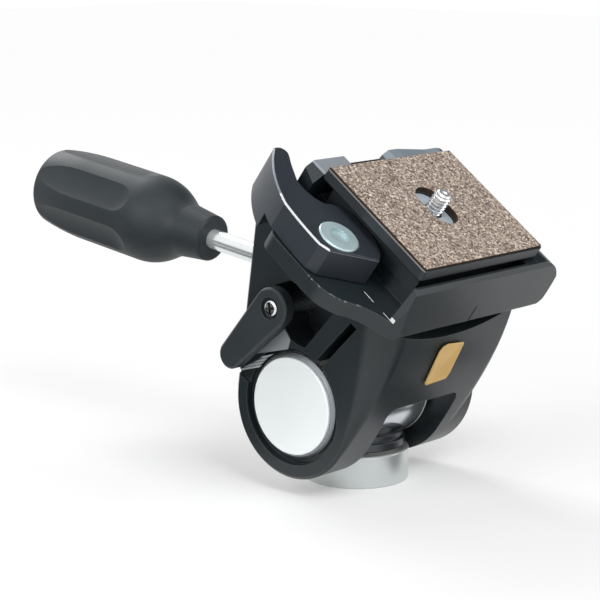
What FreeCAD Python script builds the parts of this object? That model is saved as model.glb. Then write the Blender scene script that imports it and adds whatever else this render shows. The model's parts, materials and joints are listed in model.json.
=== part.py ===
"""One-handle pan and tilt head with a side-lever quick release.

Frame: +Z up along the pan axis, origin at the centre of the base's underside,
+X from the silver end disc to the plain side, the handle towards +Y.
The base, foot and drum are built in that frame.  Everything that tilts is built
level, with the tilt axis along X through the origin (y back, z up), and is then
turned forward by REST_TILT and lifted to the tilt axis.  Millimetres.
"""
import FreeCAD
import Part
import math
import os

V = FreeCAD.Vector
AX_X = V(1, 0, 0)
AX_Y = V(0, 1, 0)
AX_Z = V(0, 0, 1)

# ---------------------------------------------------------------- clearances
RUN = 0.06            # radial running clearance of shafts and bores
GAP = 0.3             # clearance between neighbouring bodies
SEAT = 0.3            # clearance of a piece laid in its pocket

# ---------------------------------------------------------------- rest pose
REST_TILT = 36.5      # forward tilt of the head at rest, degrees

# ---------------------------------------------------------------- widths
BODY_HALF = 35.4      # half width across the cheeks
SLOT_HALF = 19.5      # half width of the slot between them

# ---------------------------------------------------------------- base and pan
BASE_R = 18.5
BASE_H = 11.6
BUSH_R = 7.6
BUSH_H = 6.6
TRIPOD_R = 4.76       # 3/8"-16 thread, major radius
PAN_BOLT_R = 4.0
PAN_HEAD_R = 7.0
PAN_HEAD_H = 2.4
WASHER_R = 15.2
WASHER_T = 0.8
FOOT_R = 17.0
FOOT_GROOVE_R = 16.1
FOOT_RING_R = 16.7
FOOT_H = 3.2
FOOT_GROOVE_H = 0.7
FOOT_RING_H = 2.0
NECK_R = 14.0
NECK_H = 13.6         # from the foot's top to the tilt axis

# ---------------------------------------------------------------- tilt drum
DRUM_R = 18.5
DRUM_INSET = 0.8      # drum's left face behind the cheek's face
DRUM_END_GAP = 1.2    # drum's right face to the slot's wall
DRUM_BORE_R = 13.5
DRUM_WEB = 8.0
DRUM_CHAMFER = 0.9
DRUM_FLOOR = 2.2      # flat left inside the drum under the pan nut
DISC_R = 17.0
DISC_T = 1.6
DISC_PROUD = 1.1
DISC_CHAMFER = 0.3
JOURNAL_R = 9.0
JOURNAL_COVER = 5.4   # wall left outside the journal
JOURNAL_BUSH_WALL = 1.6
NUT_H = 4.4
NUT_AF = 11.0
SPRING_T = 1.8
SPRING_R = 7.0

# ---------------------------------------------------------------- housing
BODY_R = 25.7         # arc round the tilt axis
BODY_TOP = 50.0
FRONT_TOP_Y = -16.0
REAR_ANGLE = 28.0     # rear face stands square to the handle
REAR_TOP_Z = 43.0
REAR_TOP_Y = 46.0
SLOT_TOP = 18.6
SLOT_CORNER = 4.0
SLOT_REAR_Z = -2.0
RECESS_R = 20.6
RECESS_DEPTH = 3.0
LINER_WALL = 1.2
LINER_INSET = 1.2     # liner's end behind the recess floor
SLIT_W = 3.2
SLIT_LOW = (0.9, 14.0)     # middle of the saw cut, (y, z) level
SLIT_HIGH = (-3.4, 42.0)
POCKET_DEPTH = 13.0
POCKET_WALL = 1.6
POCKET_FRONT = 7.6     # y of the pocket's front wall at the ring
POCKET_OUTLINE = ((13.8, 18.7), (18.2, 20.1), (22.3, 24.9), (30.4, 29.0), (26.4, 35.1), (12.6, 39.4),
                  (5.2, 41.5))
EDGE_R = 1.4
RING_CHAMFER = 1.0
FRONT_EDGE_R = 11.5
CRESCENT_SAG = 5.6
CRESCENT_DEPTH = 6.0
SHELF_DEPTH = 1.6
SHELF_LOW = ((27.0, -8.5), (24.8, -6.4), (14.6, 14.6))

# ---------------------------------------------------------------- handle
HANDLE_POINT = (66.8, 4.9)      # a point of the handle's axis, (y, z) level
ROD_R = 3.75
ROD_THREAD_R = 3.0
ROD_THREAD_REACH = 3.8          # thread's tip in front of the saw cut's middle, along y
ROD_SHOULDER = 4.0              # rod's shoulder behind the saw cut's middle, along y
CLAMP_NUT_BACK = 1.3            # nut's rear face behind the saw cut's middle, along y
GRIP_START = 19.5               # stations along the axis from HANDLE_POINT
GRIP_NECK_END = 32.0
GRIP_FLARE_END = 52.0
GRIP_TAPER_START = 84.0
GRIP_END = 105.0
GRIP_MOUTH_R = 8.7
GRIP_NECK_R = 10.1
GRIP_R = 16.9
GRIP_TIP_R = 15.2
GRIP_TIP_ROUND = 2.2
GRIP_BORE_END = 70.0
FLUTES = 6
FLUTE_R = 20.0
FLUTE_DEPTH = 1.8
FLUTE_START = 60.0
CAP_R = 8.4
CAP_T = 2.0
COLLAR_R = 6.6
COLLAR_T = 3.2
CLAMP_NUT_AF = 10.0
CLAMP_NUT_T = 5.0

# ---------------------------------------------------------------- wing lever
WING_AXIS = (23.9, 25.2)
WING_GAP = 1.8        # wing to the cheek's face
WING_T = 4.4
WING_HUB_R = 7.2
WING_TIP = (27.9, -1.2)
WING_TIP_R = 4.9
WING_SHAFT_R = 4.0
WING_SHAFT_END = -7.0
CAM_R = 3.4
CAM_ECC = 0.5
SHOE_X = -12.5
SHOE_R = 3.4
WING_RECESS_R = 3.9
WING_RECESS_DEPTH = 1.6
WING_SCREW_R = 2.9
WING_SCREW_SHANK_R = 1.5
WING_SCREW_HEAD_H = 1.5

# ---------------------------------------------------------------- clamp platform
FLOOR_Z = 56.0
DECK_Z = 62.0
DECK_UNDER_FOOT = 0.6  # the foot's left side past the deck's edge
JAW_TOP = 69.4
LIP_TOP = 69.6
LIP_NOTCH_X = 3.8
LIP_INNER_Y = -14.4
LIP_OUTER_Y = -19.2
LIP_LEFT = -34.8
REAR_LIP_TOP = 71.8
REAR_BLOCKS = ((-34.4, -13.0), (7.2, 31.0))
REAR_FALL_X = 14.0     # where the second block's top starts to fall
REAR_DIP = 1.6         # dip between the blocks, below the front lip's top
REAR_END_CUT = 4.0     # cut corner at the left end of the first block
REAR_STEP = 2.0        # cut corners of the blocks beside the dip
REAR_LIP_INNER = 38.9
REAR_LIP_OUTER = 45.5
RIGHT_EDGE = 49.3
RIGHT_CORNER = 5.3
RIGHT_SHOULDER_X = 38.0
RIGHT_BOW = (46.4, 65.2)
RIGHT_FLANK_Z = 58.3
RIGHT_BELLY_BOW = (45.4, 53.4)
RIGHT_BELLY = (33.0, 50.9)
RIGHT_BELLY_END = 28.0
FLANGE_MARGIN = 11.5   # flange's left edge beyond the lever's pivot
FLANGE_START_X = -34.5
FLANGE_SWEEP = ((4.9, -15.2), (0.5, -8.2), (-6.0, -3.2), (-10.1, 2.2))     # x from the lever's pivot
FLANGE_SIDE_Y = (9.0, 28.0)
FLANGE_CORNER = 5.0
FLANGE_REAR = ((-37.5, 36.5), (-34.5, 38.6))
REAR_LEFT_X = -33.0
PAST_X = 62.0          # reach of the cutters past the platform
PAST_LOW = 40.0
PAST_TOP = 90.0
PLATFORM_SCREW_R = 2.5
PLATFORM_SCREW_HEAD_R = 4.4
PLATFORM_SCREW_HEAD_H = 3.0
PLATFORM_SCREW_DEPTH = 12.0
PLATFORM_SCREWS = ((-15.0, -2.0), (15.0, -2.0), (-15.0, 28.0), (15.0, 28.0))

# ---------------------------------------------------------------- release lever
LEVER_PIVOT_Y = 14.7
NOSE_GAP = 0.8         # lever's nose to the plate's foot
LEVER_TOP = 67.0
LEVER_BOTTOM = 56.4
LEVER_PAD_BOTTOM = 50.5
LEVER_PAD_INNER_R = 25.5
LEVER_NOSE_R = 15.5
LEVER_BEVEL = 0.5
LEVER_NOSE_ARC = (-57.0, -28.0)
# plan of the lever from its pivot: side, waist, back, tip, outer side and heel
LEVER_SIDE_Y = 9.3
LEVER_WAIST = ((12.0, 13.5), (7.3, 15.7))
LEVER_BACK = ((4.8, 20.9), (5.0, 27.3), (7.3, 32.9), (11.1, 38.5))
LEVER_TIP = ((11.3, 42.9), (6.9, 42.9))
LEVER_OUTER = ((-3.9, 30.3), (-9.6, 18.3), (-10.6, 8.3), (-10.7, -1.3))
LEVER_HEEL = (-8.9, -4.9)
LEVER_BORE_R = 4.0
PIVOT_HEAD_R = 7.2
PIVOT_HEAD_H = 1.9
PIVOT_PROUD = 0.5
PIVOT_STEM_R = 2.6
COIL_ROOM_H = 4.0
PIVOT_SOCKET_R = 3.4
SPRING_WIRE_R = 0.6
SPRING_COIL_R = 6.4
SPRING_TURNS = 3

# ---------------------------------------------------------------- quick plate
PLATE_HALF = 33.0
PLATE_FRONT = -13.4
PLATE_REAR = 38.0
PLATE_BOTTOM = 70.5
PLATE_TOP = 75.2
PLATE_RIM = 0.6
CORK_BED = 74.0
CORK_TOP = 76.0
FOOT_HALF = 27.2
FOOT_FRONT = -10.5
FOOT_REAR = 35.0
CORK_HOLE_W = 11.4
CORK_HOLE_L = 18.4
WINDOW_FLOOR = 73.0
SCREW_Y = 13.2
SCREW_R = 3.175
SCREW_TOP = 81.6
SCREW_RELIEF_R = 2.9
SCREW_RELIEF_TOP = 74.2
SCREW_HEAD_R = 8.0
SCREW_HEAD_H = 3.0
SCREW_POCKET_R = 9.5
CLIP_R = 5.6
CLIP_T = 0.8


# ================================================================ helpers
def cyl(radius, x0, x1, y=0.0, z=0.0):
    """A cylinder along X."""
    return Part.makeCylinder(radius, x1 - x0, V(x0, y, z), AX_X)


def post(radius, z0, z1, x=0.0, y=0.0):
    """A cylinder along Z."""
    return Part.makeCylinder(radius, z1 - z0, V(x, y, z0), AX_Z)


def turned_post(radius, z0, z1, chamfer, x=0.0, y=0.0):
    """A cylinder along Z with its top edge chamfered."""
    cone = Part.makeCone(radius, radius - chamfer, chamfer, V(x, y, z1 - chamfer), AX_Z)
    return post(radius, z0, z1 - chamfer, x, y).fuse(cone).removeSplitter()


def turned_cyl(radius, x0, x1, chamfer, y=0.0, z=0.0):
    """A cylinder along X with the edge at its low x end chamfered."""
    cone = Part.makeCone(radius - chamfer, radius, chamfer, V(x0, y, z), AX_X)
    return cone.fuse(cyl(radius, x0 + chamfer, x1, y, z)).removeSplitter()


def box(x0, x1, y0, y1, z0, z1):
    """A box given by its corners."""
    return Part.makeBox(x1 - x0, y1 - y0, z1 - z0, V(x0, y0, z0))


def polygon(points):
    """A closed face through the points."""
    ring = list(points) + [points[0]]
    return Part.Face(Part.makePolygon(ring))


def prism_x(points, x0, x1):
    """Extrude a (y, z) outline along X."""
    face = polygon([V(x0, y, z) for y, z in points])
    return face.extrude(V(x1 - x0, 0, 0))


def prism_y(points, y0, y1):
    """Extrude an (x, z) outline along Y."""
    face = polygon([V(x, y0, z) for x, z in points])
    return face.extrude(V(0, y1 - y0, 0))


def prism_z(points, z0, z1):
    """Extrude an (x, y) outline along Z."""
    face = polygon([V(x, y, z0) for x, y in points])
    return face.extrude(V(0, 0, z1 - z0))


def hexagon(across_flats, z0, z1):
    """A hexagonal prism along Z round the pan axis."""
    corner = across_flats / math.sqrt(3.0)
    ring = [(corner * math.cos(math.radians(a)), corner * math.sin(math.radians(a)))
            for a in range(0, 360, 60)]
    return prism_z(ring, z0, z1)


def revolve_z(points):
    """Turn an (r, z) outline round Z."""
    face = polygon([V(r, 0, z) for r, z in points])
    return face.revolve(V(0, 0, 0), AX_Z, 360)


def slot_z(width, length, z0, z1, x=0.0, y=0.0):
    """A round-ended slot along Y, cut along Z."""
    half = (length - width) / 2.0
    body = box(x - width / 2.0, x + width / 2.0, y - half, y + half, z0, z1)
    body = body.fuse(post(width / 2.0, z0, z1, x, y - half))
    return body.fuse(post(width / 2.0, z0, z1, x, y + half)).removeSplitter()


def polar(radius, angle):
    """A (y, z) point on a circle round the tilt axis, angle up from the rear."""
    a = math.radians(angle)
    return (radius * math.cos(a), radius * math.sin(a))


def along_handle(shape):
    """Place a shape built along +Z from HANDLE_POINT onto the handle's axis."""
    shape.rotate(V(0, 0, 0), AX_X, -(90.0 + REAR_ANGLE))
    shape.translate(V(0, HANDLE_POINT[0], HANDLE_POINT[1]))
    return shape


def station_of_y(y):
    """The station on the handle's axis at a given y of the level head."""
    return (y - HANDLE_POINT[0]) / math.cos(math.radians(REAR_ANGLE))


def rear_face_station():
    """The station at which the handle's axis leaves the rear face."""
    a = math.radians(REAR_ANGLE)
    point = HANDLE_POINT[0] * math.cos(a) - HANDLE_POINT[1] * math.sin(a)
    return BODY_R - point


def to_rest(shape):
    """Turn a level head piece forward and lift it to the tilt axis."""
    shape = shape.copy()
    shape.rotate(V(0, 0, 0), AX_X, REST_TILT)
    shape.translate(V(0, 0, TILT_AXIS_Z))
    return shape


def edges_where(shape, test):
    """The edges whose middle point passes a test."""
    found = []
    for edge in shape.Edges:
        middle = edge.valueAt((edge.FirstParameter + edge.LastParameter) / 2.0)
        if test(edge, middle):
            found.append(edge)
    return found


# ================================================================ base and pan
FOOT_BOTTOM = BASE_H + WASHER_T
FOOT_TOP = FOOT_BOTTOM + FOOT_H + FOOT_GROOVE_H + FOOT_RING_H
TILT_AXIS_Z = FOOT_TOP + NECK_H
DRUM_INSIDE_Z = TILT_AXIS_Z - DRUM_BORE_R + DRUM_FLOOR
PAN_HEAD_TOP = BUSH_H + PAN_HEAD_H
DRUM_LEFT = DRUM_INSET - BODY_HALF
DRUM_RIGHT = SLOT_HALF - DRUM_END_GAP
JOURNAL_END = BODY_HALF - JOURNAL_COVER
LINER_LEFT = RECESS_DEPTH + LINER_INSET - BODY_HALF
WING_IN = -BODY_HALF - WING_GAP
WING_OUT = WING_IN - WING_T
LEVER_PIVOT = (-FOOT_HALF - NOSE_GAP - LEVER_NOSE_R, LEVER_PIVOT_Y)
LEFT_EDGE = LEVER_PIVOT[0] - FLANGE_MARGIN
DECK_LEFT = DECK_UNDER_FOOT - FOOT_HALF


def base():
    """The silver base that screws onto the tripod."""
    body = revolve_z([(PAN_BOLT_R, 0), (BASE_R - 0.5, 0), (BASE_R, 0.5), (BASE_R, BASE_H - 0.5),
                      (BASE_R - 0.5, BASE_H), (PAN_BOLT_R, BASE_H)])
    body = body.cut(post(PAN_HEAD_R, BUSH_H - 1.0, PAN_HEAD_TOP))
    return body.cut(post(BUSH_R, -1.0, BUSH_H))


def tripod_bush():
    """The threaded insert for the tripod's 3/8 inch screw."""
    return post(BUSH_R, 0, BUSH_H).cut(post(TRIPOD_R, -1.0, BUSH_H - 0.8))


def pan_bolt():
    """The bolt that the head turns on."""
    top = DRUM_INSIDE_Z + SPRING_T + NUT_H + 0.8
    return post(PAN_HEAD_R, BUSH_H, PAN_HEAD_TOP).fuse(post(PAN_BOLT_R, PAN_HEAD_TOP, top))


def pan_washer():
    """The friction washer under the foot."""
    return post(WASHER_R, BASE_H, FOOT_BOTTOM).cut(post(PAN_BOLT_R + SEAT, BASE_H - 1.0, FOOT_BOTTOM + 1.0))


def pan_foot():
    """The foot that carries the drum, with a saddle for it."""
    z1 = FOOT_BOTTOM + FOOT_H
    z2 = z1 + FOOT_GROOVE_H
    foot = revolve_z([(0, FOOT_BOTTOM), (FOOT_R - 0.4, FOOT_BOTTOM), (FOOT_R, FOOT_BOTTOM + 0.4),
                      (FOOT_R, z1 - 0.3), (FOOT_R - 0.3, z1), (FOOT_GROOVE_R, z1), (FOOT_GROOVE_R, z2),
                      (FOOT_RING_R - 0.2, z2), (FOOT_RING_R, z2 + 0.2), (FOOT_RING_R, FOOT_TOP - 0.4),
                      (FOOT_RING_R - 0.4, FOOT_TOP), (NECK_R, FOOT_TOP), (NECK_R - 1.0, TILT_AXIS_Z),
                      (0, TILT_AXIS_Z)])
    foot = foot.cut(cyl(DRUM_R, -2.0 * FOOT_R, 2.0 * FOOT_R, 0, TILT_AXIS_Z))
    return foot.cut(post(PAN_BOLT_R + RUN, 0, TILT_AXIS_Z))


def tilt_drum():
    """The hollow chromed drum that the head rocks on."""
    z = TILT_AXIS_Z
    c = DRUM_CHAMFER
    outline = [(0, DRUM_LEFT), (DRUM_R - c, DRUM_LEFT), (DRUM_R, DRUM_LEFT + c), (DRUM_R, DRUM_RIGHT - c),
               (DRUM_R - c, DRUM_RIGHT), (JOURNAL_R, DRUM_RIGHT), (JOURNAL_R, JOURNAL_END), (0, JOURNAL_END)]
    drum = revolve_z(outline)
    drum = drum.cut(post(DISC_R + 0.05, DRUM_LEFT - 1.0, DRUM_LEFT + DISC_T - DISC_PROUD))
    drum = drum.cut(post(DRUM_BORE_R, DRUM_LEFT - 1.0, DRUM_RIGHT - DRUM_WEB))
    drum.rotate(V(0, 0, 0), AX_Y, 90)
    drum.translate(V(0, 0, z))
    flat_half = math.sqrt(DRUM_BORE_R ** 2 - (DRUM_BORE_R - DRUM_FLOOR) ** 2)
    floor = cyl(DRUM_BORE_R + 0.5, -flat_half, flat_half, 0, z)
    floor = floor.common(box(-50, 50, -50, 50, 0, DRUM_INSIDE_Z))
    drum = drum.fuse(floor)
    return drum.cut(post(PAN_BOLT_R + RUN, 0, z)).removeSplitter()


def pan_spring():
    """The dished spring washers that set the pan drag."""
    z0 = DRUM_INSIDE_Z
    return post(SPRING_R, z0, z0 + SPRING_T).cut(post(PAN_BOLT_R + SEAT, z0 - 1.0, z0 + SPRING_T + 1.0))


def pan_nut():
    """The nut on the pan bolt, inside the drum."""
    z0 = DRUM_INSIDE_Z + SPRING_T
    return hexagon(NUT_AF, z0, z0 + NUT_H).cut(post(PAN_BOLT_R, z0 - 1.0, z0 + NUT_H + 1.0))


def drum_end_disc():
    """The silver disc that closes the drum."""
    x0 = DRUM_LEFT - DISC_PROUD
    return turned_cyl(DISC_R, x0, x0 + DISC_T, DISC_CHAMFER, 0, TILT_AXIS_Z)


# ================================================================ housing
def front_arc_point(z):
    """The y of the front face at height z, an arc upright at the tilt axis."""
    run = FRONT_TOP_Y + BODY_R
    radius = (run ** 2 + BODY_TOP ** 2) / (2.0 * run)
    return -BODY_R + radius - math.sqrt(radius ** 2 - z ** 2)


def upper_block():
    """The housing above the tilt axis, with its rounded front corners."""
    a = math.radians(REAR_ANGLE)
    low = polar(BODY_R, -REAR_ANGLE)
    rear_y = (BODY_R + REAR_TOP_Z * math.sin(a)) / math.cos(a)
    half = BODY_TOP / 2.0
    def p(y, z):
        return V(-BODY_HALF, y, z)
    edges = [
        Part.makeLine(p(*low), p(rear_y, REAR_TOP_Z)),
        Part.makeLine(p(rear_y, REAR_TOP_Z), p(REAR_TOP_Y, BODY_TOP)),
        Part.makeLine(p(REAR_TOP_Y, BODY_TOP), p(FRONT_TOP_Y, BODY_TOP)),
        Part.Arc(p(FRONT_TOP_Y, BODY_TOP), p(front_arc_point(half), half), p(-BODY_R, 0)).toShape(),
        Part.makeLine(p(-BODY_R, 0), p(0, 0)),
        Part.makeLine(p(0, 0), p(*low)),
    ]
    block = Part.Face(Part.Wire(edges)).extrude(V(2.0 * BODY_HALF, 0, 0))
    def is_front(edge, m):
        return abs(abs(m.x) - BODY_HALF) < 0.01 and 1.0 < m.z < BODY_TOP - 1.0 and m.y < FRONT_TOP_Y - 0.5
    def is_rear(edge, m):
        return abs(abs(m.x) - BODY_HALF) < 0.01 and m.y > BODY_R and m.z < REAR_TOP_Z
    for edge in edges_where(block, is_front):
        rising = edge.firstVertex(True).Point.z < edge.lastVertex(True).Point.z
        first, last = (EDGE_R, FRONT_EDGE_R) if rising else (FRONT_EDGE_R, EDGE_R)
        again = edges_where(block, lambda e, m: is_front(e, m) and m.x * edge.CenterOfMass.x > 0)
        block = block.makeFillet(first, last, again)
    return block.makeFillet(EDGE_R, edges_where(block, is_rear))


def ring_block():
    """The round lower part of the housing, about the tilt axis."""
    c = RING_CHAMFER
    ring = cyl(BODY_R, -BODY_HALF + c, BODY_HALF - c)
    ring = ring.fuse(Part.makeCone(BODY_R - c, BODY_R, c, V(-BODY_HALF, 0, 0), AX_X))
    return ring.fuse(Part.makeCone(BODY_R, BODY_R - c, c, V(BODY_HALF - c, 0, 0), AX_X)).removeSplitter()


def housing_slot():
    """The front, bottom and rear slot that clears the foot."""
    front = box(-SLOT_HALF, SLOT_HALF, -60, 0, -60, SLOT_TOP)
    corners = edges_where(front, lambda e, m: abs(abs(m.x) - SLOT_HALF) < 0.01 and abs(m.z - SLOT_TOP) < 0.01)
    front = front.makeFillet(SLOT_CORNER, corners)
    rear = box(-SLOT_HALF, SLOT_HALF, -1, 60, -60, SLOT_REAR_Z)
    drum = cyl(DRUM_R + 0.6, -SLOT_HALF, SLOT_HALF)
    return front.fuse(rear).fuse(drum)


def side_pocket():
    """The cast pocket in the left cheek, between ring, rear wall and front wall."""
    ring = RECESS_R + POCKET_WALL
    front = (POCKET_FRONT, math.sqrt(ring ** 2 - POCKET_FRONT ** 2))
    points = [front, polar(ring, 60)] + list(POCKET_OUTLINE)
    return prism_x(points, -BODY_HALF - 1.0, POCKET_DEPTH - BODY_HALF)


def ring_shelf():
    """The lowered, machined rear sector of the left ring."""
    x0 = -BODY_HALF - 1.0
    deep = -BODY_HALF + SHELF_DEPTH
    inner = RECESS_R - 1.5
    outline = [polar(inner, -22)] + list(SHELF_LOW) + [polar(inner, 44)]
    return prism_x(outline, x0, deep)


def slit():
    """The saw cut that lets the handle close the housing on the drum."""
    (y0, z0), (y1, z1) = SLIT_LOW, SLIT_HIGH
    h = SLIT_W / 2.0
    return prism_x([(y0 - h, z0), (y0 + h, z0), (y1 + h, z1), (y1 - h, z1)],
                   -BODY_HALF - 1, BODY_HALF + 1)


def crescent():
    """The shallow arc relieved from the front top edge of the housing."""
    past = BODY_HALF
    def p(x, z):
        return V(x, FRONT_TOP_Y - past, z)
    arc = Part.Arc(p(-BODY_HALF, BODY_TOP), p(0, BODY_TOP - CRESCENT_SAG), p(BODY_HALF, BODY_TOP)).toShape()
    top = Part.makeLine(p(BODY_HALF, BODY_TOP), p(-BODY_HALF, BODY_TOP))
    return Part.Face(Part.Wire([arc, top])).extrude(V(0, past + CRESCENT_DEPTH, 0))


def handle_bores():
    """The handle's running bore and its tapped end, as one cutter."""
    inner = station_of_y(SLIT_HIGH[0] + ROD_SHOULDER - 1.0)
    tip = station_of_y(SLIT_HIGH[0] - ROD_THREAD_REACH) - 1.0
    bore = post(ROD_R + RUN, inner, 20.0)
    bore = bore.fuse(post(ROD_THREAD_R + RUN, tip, 20.0))
    return along_handle(bore)


def clamp_nut_blank(extra):
    """The captive nut's hexagon, grown by a clearance."""
    start = station_of_y(SLIT_HIGH[0] + CLAMP_NUT_BACK) - CLAMP_NUT_T
    nut = hexagon(CLAMP_NUT_AF + 2.0 * extra, start - extra, start + CLAMP_NUT_T + 8.0 * extra)
    return along_handle(nut)


def shoe_axis_shape(radius, start, end):
    """A round bar from the drum towards the cam, at the shoe's place."""
    y, z = WING_AXIS
    angle = math.degrees(math.atan2(z, y))
    bar = post(radius, start, end)
    bar.rotate(V(0, 0, 0), AX_X, -(90.0 - angle))
    bar.translate(V(SHOE_X, 0, 0))
    return bar


def housing():
    """The main casting: two cheeks, a bridge and the rear block."""
    body = upper_block().fuse(ring_block())
    body = body.cut(housing_slot())
    body = body.cut(cyl(DRUM_R + LINER_WALL, LINER_LEFT, 0))
    body = body.cut(cyl(DRUM_R + GAP, -BODY_HALF, 0))
    body = body.cut(cyl(RECESS_R, -BODY_HALF - 1, -BODY_HALF + RECESS_DEPTH))
    body = body.cut(cyl(JOURNAL_R + JOURNAL_BUSH_WALL, 0, JOURNAL_END + 0.6))
    body = body.cut(side_pocket()).cut(ring_shelf())
    body = body.cut(slit()).cut(crescent()).cut(handle_bores()).cut(clamp_nut_blank(SEAT))
    y, z = WING_AXIS
    body = body.cut(cyl(WING_SHAFT_R + RUN, -BODY_HALF - 1, WING_SHAFT_END + 1, y, z))
    body = body.cut(shoe_axis_shape(SHOE_R + RUN, DRUM_R - 2.0, math.hypot(y, z)))
    for x, sy in PLATFORM_SCREWS:
        body = body.cut(post(PLATFORM_SCREW_R, BODY_TOP - PLATFORM_SCREW_DEPTH, BODY_TOP + 1, x, sy))
    return body


def drum_liner():
    """The plastic liner between drum and left cheek, open over the slit."""
    liner = cyl(DRUM_R + LINER_WALL, LINER_LEFT, -SLOT_HALF)
    return liner.cut(cyl(DRUM_R + RUN, LINER_LEFT - 1, -SLOT_HALF + 1)).cut(slit())


def journal_bush():
    """The bush of the drum's journal in the right cheek."""
    x0 = SLOT_HALF
    bush = cyl(JOURNAL_R + JOURNAL_BUSH_WALL, x0, JOURNAL_END)
    return bush.cut(cyl(JOURNAL_R + RUN, x0 - 1, JOURNAL_END + 1))


def clamp_nut():
    """The captive nut that the handle's thread pulls on."""
    nut = clamp_nut_blank(0.0)
    return nut.cut(along_handle(post(ROD_THREAD_R + RUN, -120, 20)))


# ================================================================ handle
def handle_rod():
    """The chromed handle rod with its turned-down clamp end."""
    inner = station_of_y(SLIT_HIGH[0] + ROD_SHOULDER)
    tip = station_of_y(SLIT_HIGH[0] - ROD_THREAD_REACH)
    rod = post(ROD_R, inner, GRIP_BORE_END)
    return along_handle(rod.fuse(post(ROD_THREAD_R, tip, inner)))


def handle_collar():
    """The shoulder ring that bears on the rear face."""
    start = rear_face_station() + GAP
    ring = turned_post(COLLAR_R, start, start + COLLAR_T, 0.7)
    return along_handle(ring.cut(post(ROD_R, start - 1, start + COLLAR_T + 1)))


def grip_profile():
    """The grip's outline as a face, (r, station)."""
    def p(r, s):
        return V(r, 0, s)
    flare = Part.BSplineCurve()
    flare.interpolate([p(GRIP_NECK_R, GRIP_NECK_END), p((GRIP_NECK_R + GRIP_R) / 2.0, GRIP_NECK_END + 7.6),
                       p(GRIP_R, GRIP_FLARE_END)], InitialTangent=V(0.18, 0, 1), FinalTangent=V(0.0, 0, 1))
    round_start = GRIP_END - GRIP_TIP_ROUND
    bow = p((GRIP_R + GRIP_TIP_R) / 2.0 + 0.35, (GRIP_TAPER_START + round_start) / 2.0)
    corner = p(GRIP_TIP_R - 0.3 * GRIP_TIP_ROUND, GRIP_END - 0.3 * GRIP_TIP_ROUND)
    edges = [
        Part.makeLine(p(0, GRIP_START), p(GRIP_MOUTH_R - 0.8, GRIP_START)),
        Part.makeLine(p(GRIP_MOUTH_R - 0.8, GRIP_START), p(GRIP_MOUTH_R, GRIP_START + 0.8)),
        Part.makeLine(p(GRIP_MOUTH_R, GRIP_START + 0.8), p(GRIP_NECK_R, GRIP_NECK_END)),
        flare.toShape(),
        Part.makeLine(p(GRIP_R, GRIP_FLARE_END), p(GRIP_R, GRIP_TAPER_START)),
        Part.Arc(p(GRIP_R, GRIP_TAPER_START), bow, p(GRIP_TIP_R, round_start)).toShape(),
        Part.Arc(p(GRIP_TIP_R, round_start), corner, p(GRIP_TIP_R - GRIP_TIP_ROUND, GRIP_END)).toShape(),
        Part.makeLine(p(GRIP_TIP_R - GRIP_TIP_ROUND, GRIP_END), p(0, GRIP_END)),
        Part.makeLine(p(0, GRIP_END), p(0, GRIP_START)),
    ]
    return Part.Face(Part.Wire(edges))


def handle_grip():
    """The rubber grip with its wide, shallow flutes."""
    grip = grip_profile().revolve(V(0, 0, 0), AX_Z, 360)
    reach = GRIP_R + FLUTE_R - FLUTE_DEPTH
    flute = post(FLUTE_R, FLUTE_START, GRIP_END + 1, reach, 0)
    flute = flute.fuse(Part.makeSphere(FLUTE_R, V(reach, 0, FLUTE_START)))
    for i in range(FLUTES):
        again = flute.copy()
        again.rotate(V(0, 0, 0), AX_Z, 360.0 * (i + 0.5) / FLUTES)
        grip = grip.cut(again)
    grip = grip.cut(post(ROD_R, GRIP_START - 1, GRIP_BORE_END))
    grip = grip.cut(post(CAP_R + 0.05, GRIP_END - CAP_T, GRIP_END + 1))
    return along_handle(grip)


def grip_end_cap():
    """The plug in the end of the grip."""
    return along_handle(turned_post(CAP_R, GRIP_END - CAP_T, GRIP_END + 0.6, 0.5))


# ================================================================ wing lever
def wing_lever():
    """The wing lever: a hub and a tapering thumb blade."""
    y0, z0 = WING_AXIS
    y1, z1 = WING_TIP
    length = math.hypot(y1 - y0, z1 - z0)
    lean = math.asin((WING_HUB_R - WING_TIP_R) / length)
    heading = math.atan2(z1 - z0, y1 - y0)
    def tangent(cy, cz, r, side):
        a = heading + side * (math.pi / 2.0 - lean)
        return (cy + r * math.cos(a), cz + r * math.sin(a))
    blade = prism_x([tangent(y0, z0, WING_HUB_R, 1), tangent(y1, z1, WING_TIP_R, 1),
                     tangent(y1, z1, WING_TIP_R, -1), tangent(y0, z0, WING_HUB_R, -1)], WING_OUT, WING_IN)
    body = blade.fuse(cyl(WING_HUB_R, WING_OUT, WING_IN, y0, z0))
    body = body.fuse(cyl(WING_TIP_R, WING_OUT, WING_IN, y1, z1)).removeSplitter()
    rim = edges_where(body, lambda e, m: abs(m.x - WING_OUT) < 0.01)
    body = body.makeChamfer(0.7, rim)
    body = body.cut(cyl(WING_RECESS_R, WING_OUT - 1, WING_OUT + WING_RECESS_DEPTH, y0, z0))
    body = body.cut(cyl(WING_SCREW_SHANK_R, WING_OUT, WING_IN + 1, y0, z0))
    body = body.fuse(cyl(WING_HUB_R - 2.0, WING_IN, -BODY_HALF - GAP, y0, z0))
    return body.cut(cyl(WING_SHAFT_R, WING_IN, 0, y0, z0)).removeSplitter()


def wing_screw():
    """The cross-head screw that holds the wing lever on its shaft."""
    y, z = WING_AXIS
    head_in = WING_OUT + WING_RECESS_DEPTH
    head_out = head_in - WING_SCREW_HEAD_H
    head = turned_cyl(WING_SCREW_R, head_out, head_in, 0.6, y, z)
    for dy, dz in ((1.9, 0.35), (0.35, 1.9)):
        head = head.cut(box(head_out - 1, head_out + 0.9, y - dy, y + dy, z - dz, z + dz))
    return head.fuse(cyl(WING_SCREW_SHANK_R, head_in, WING_IN + 6.0, y, z))


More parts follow.
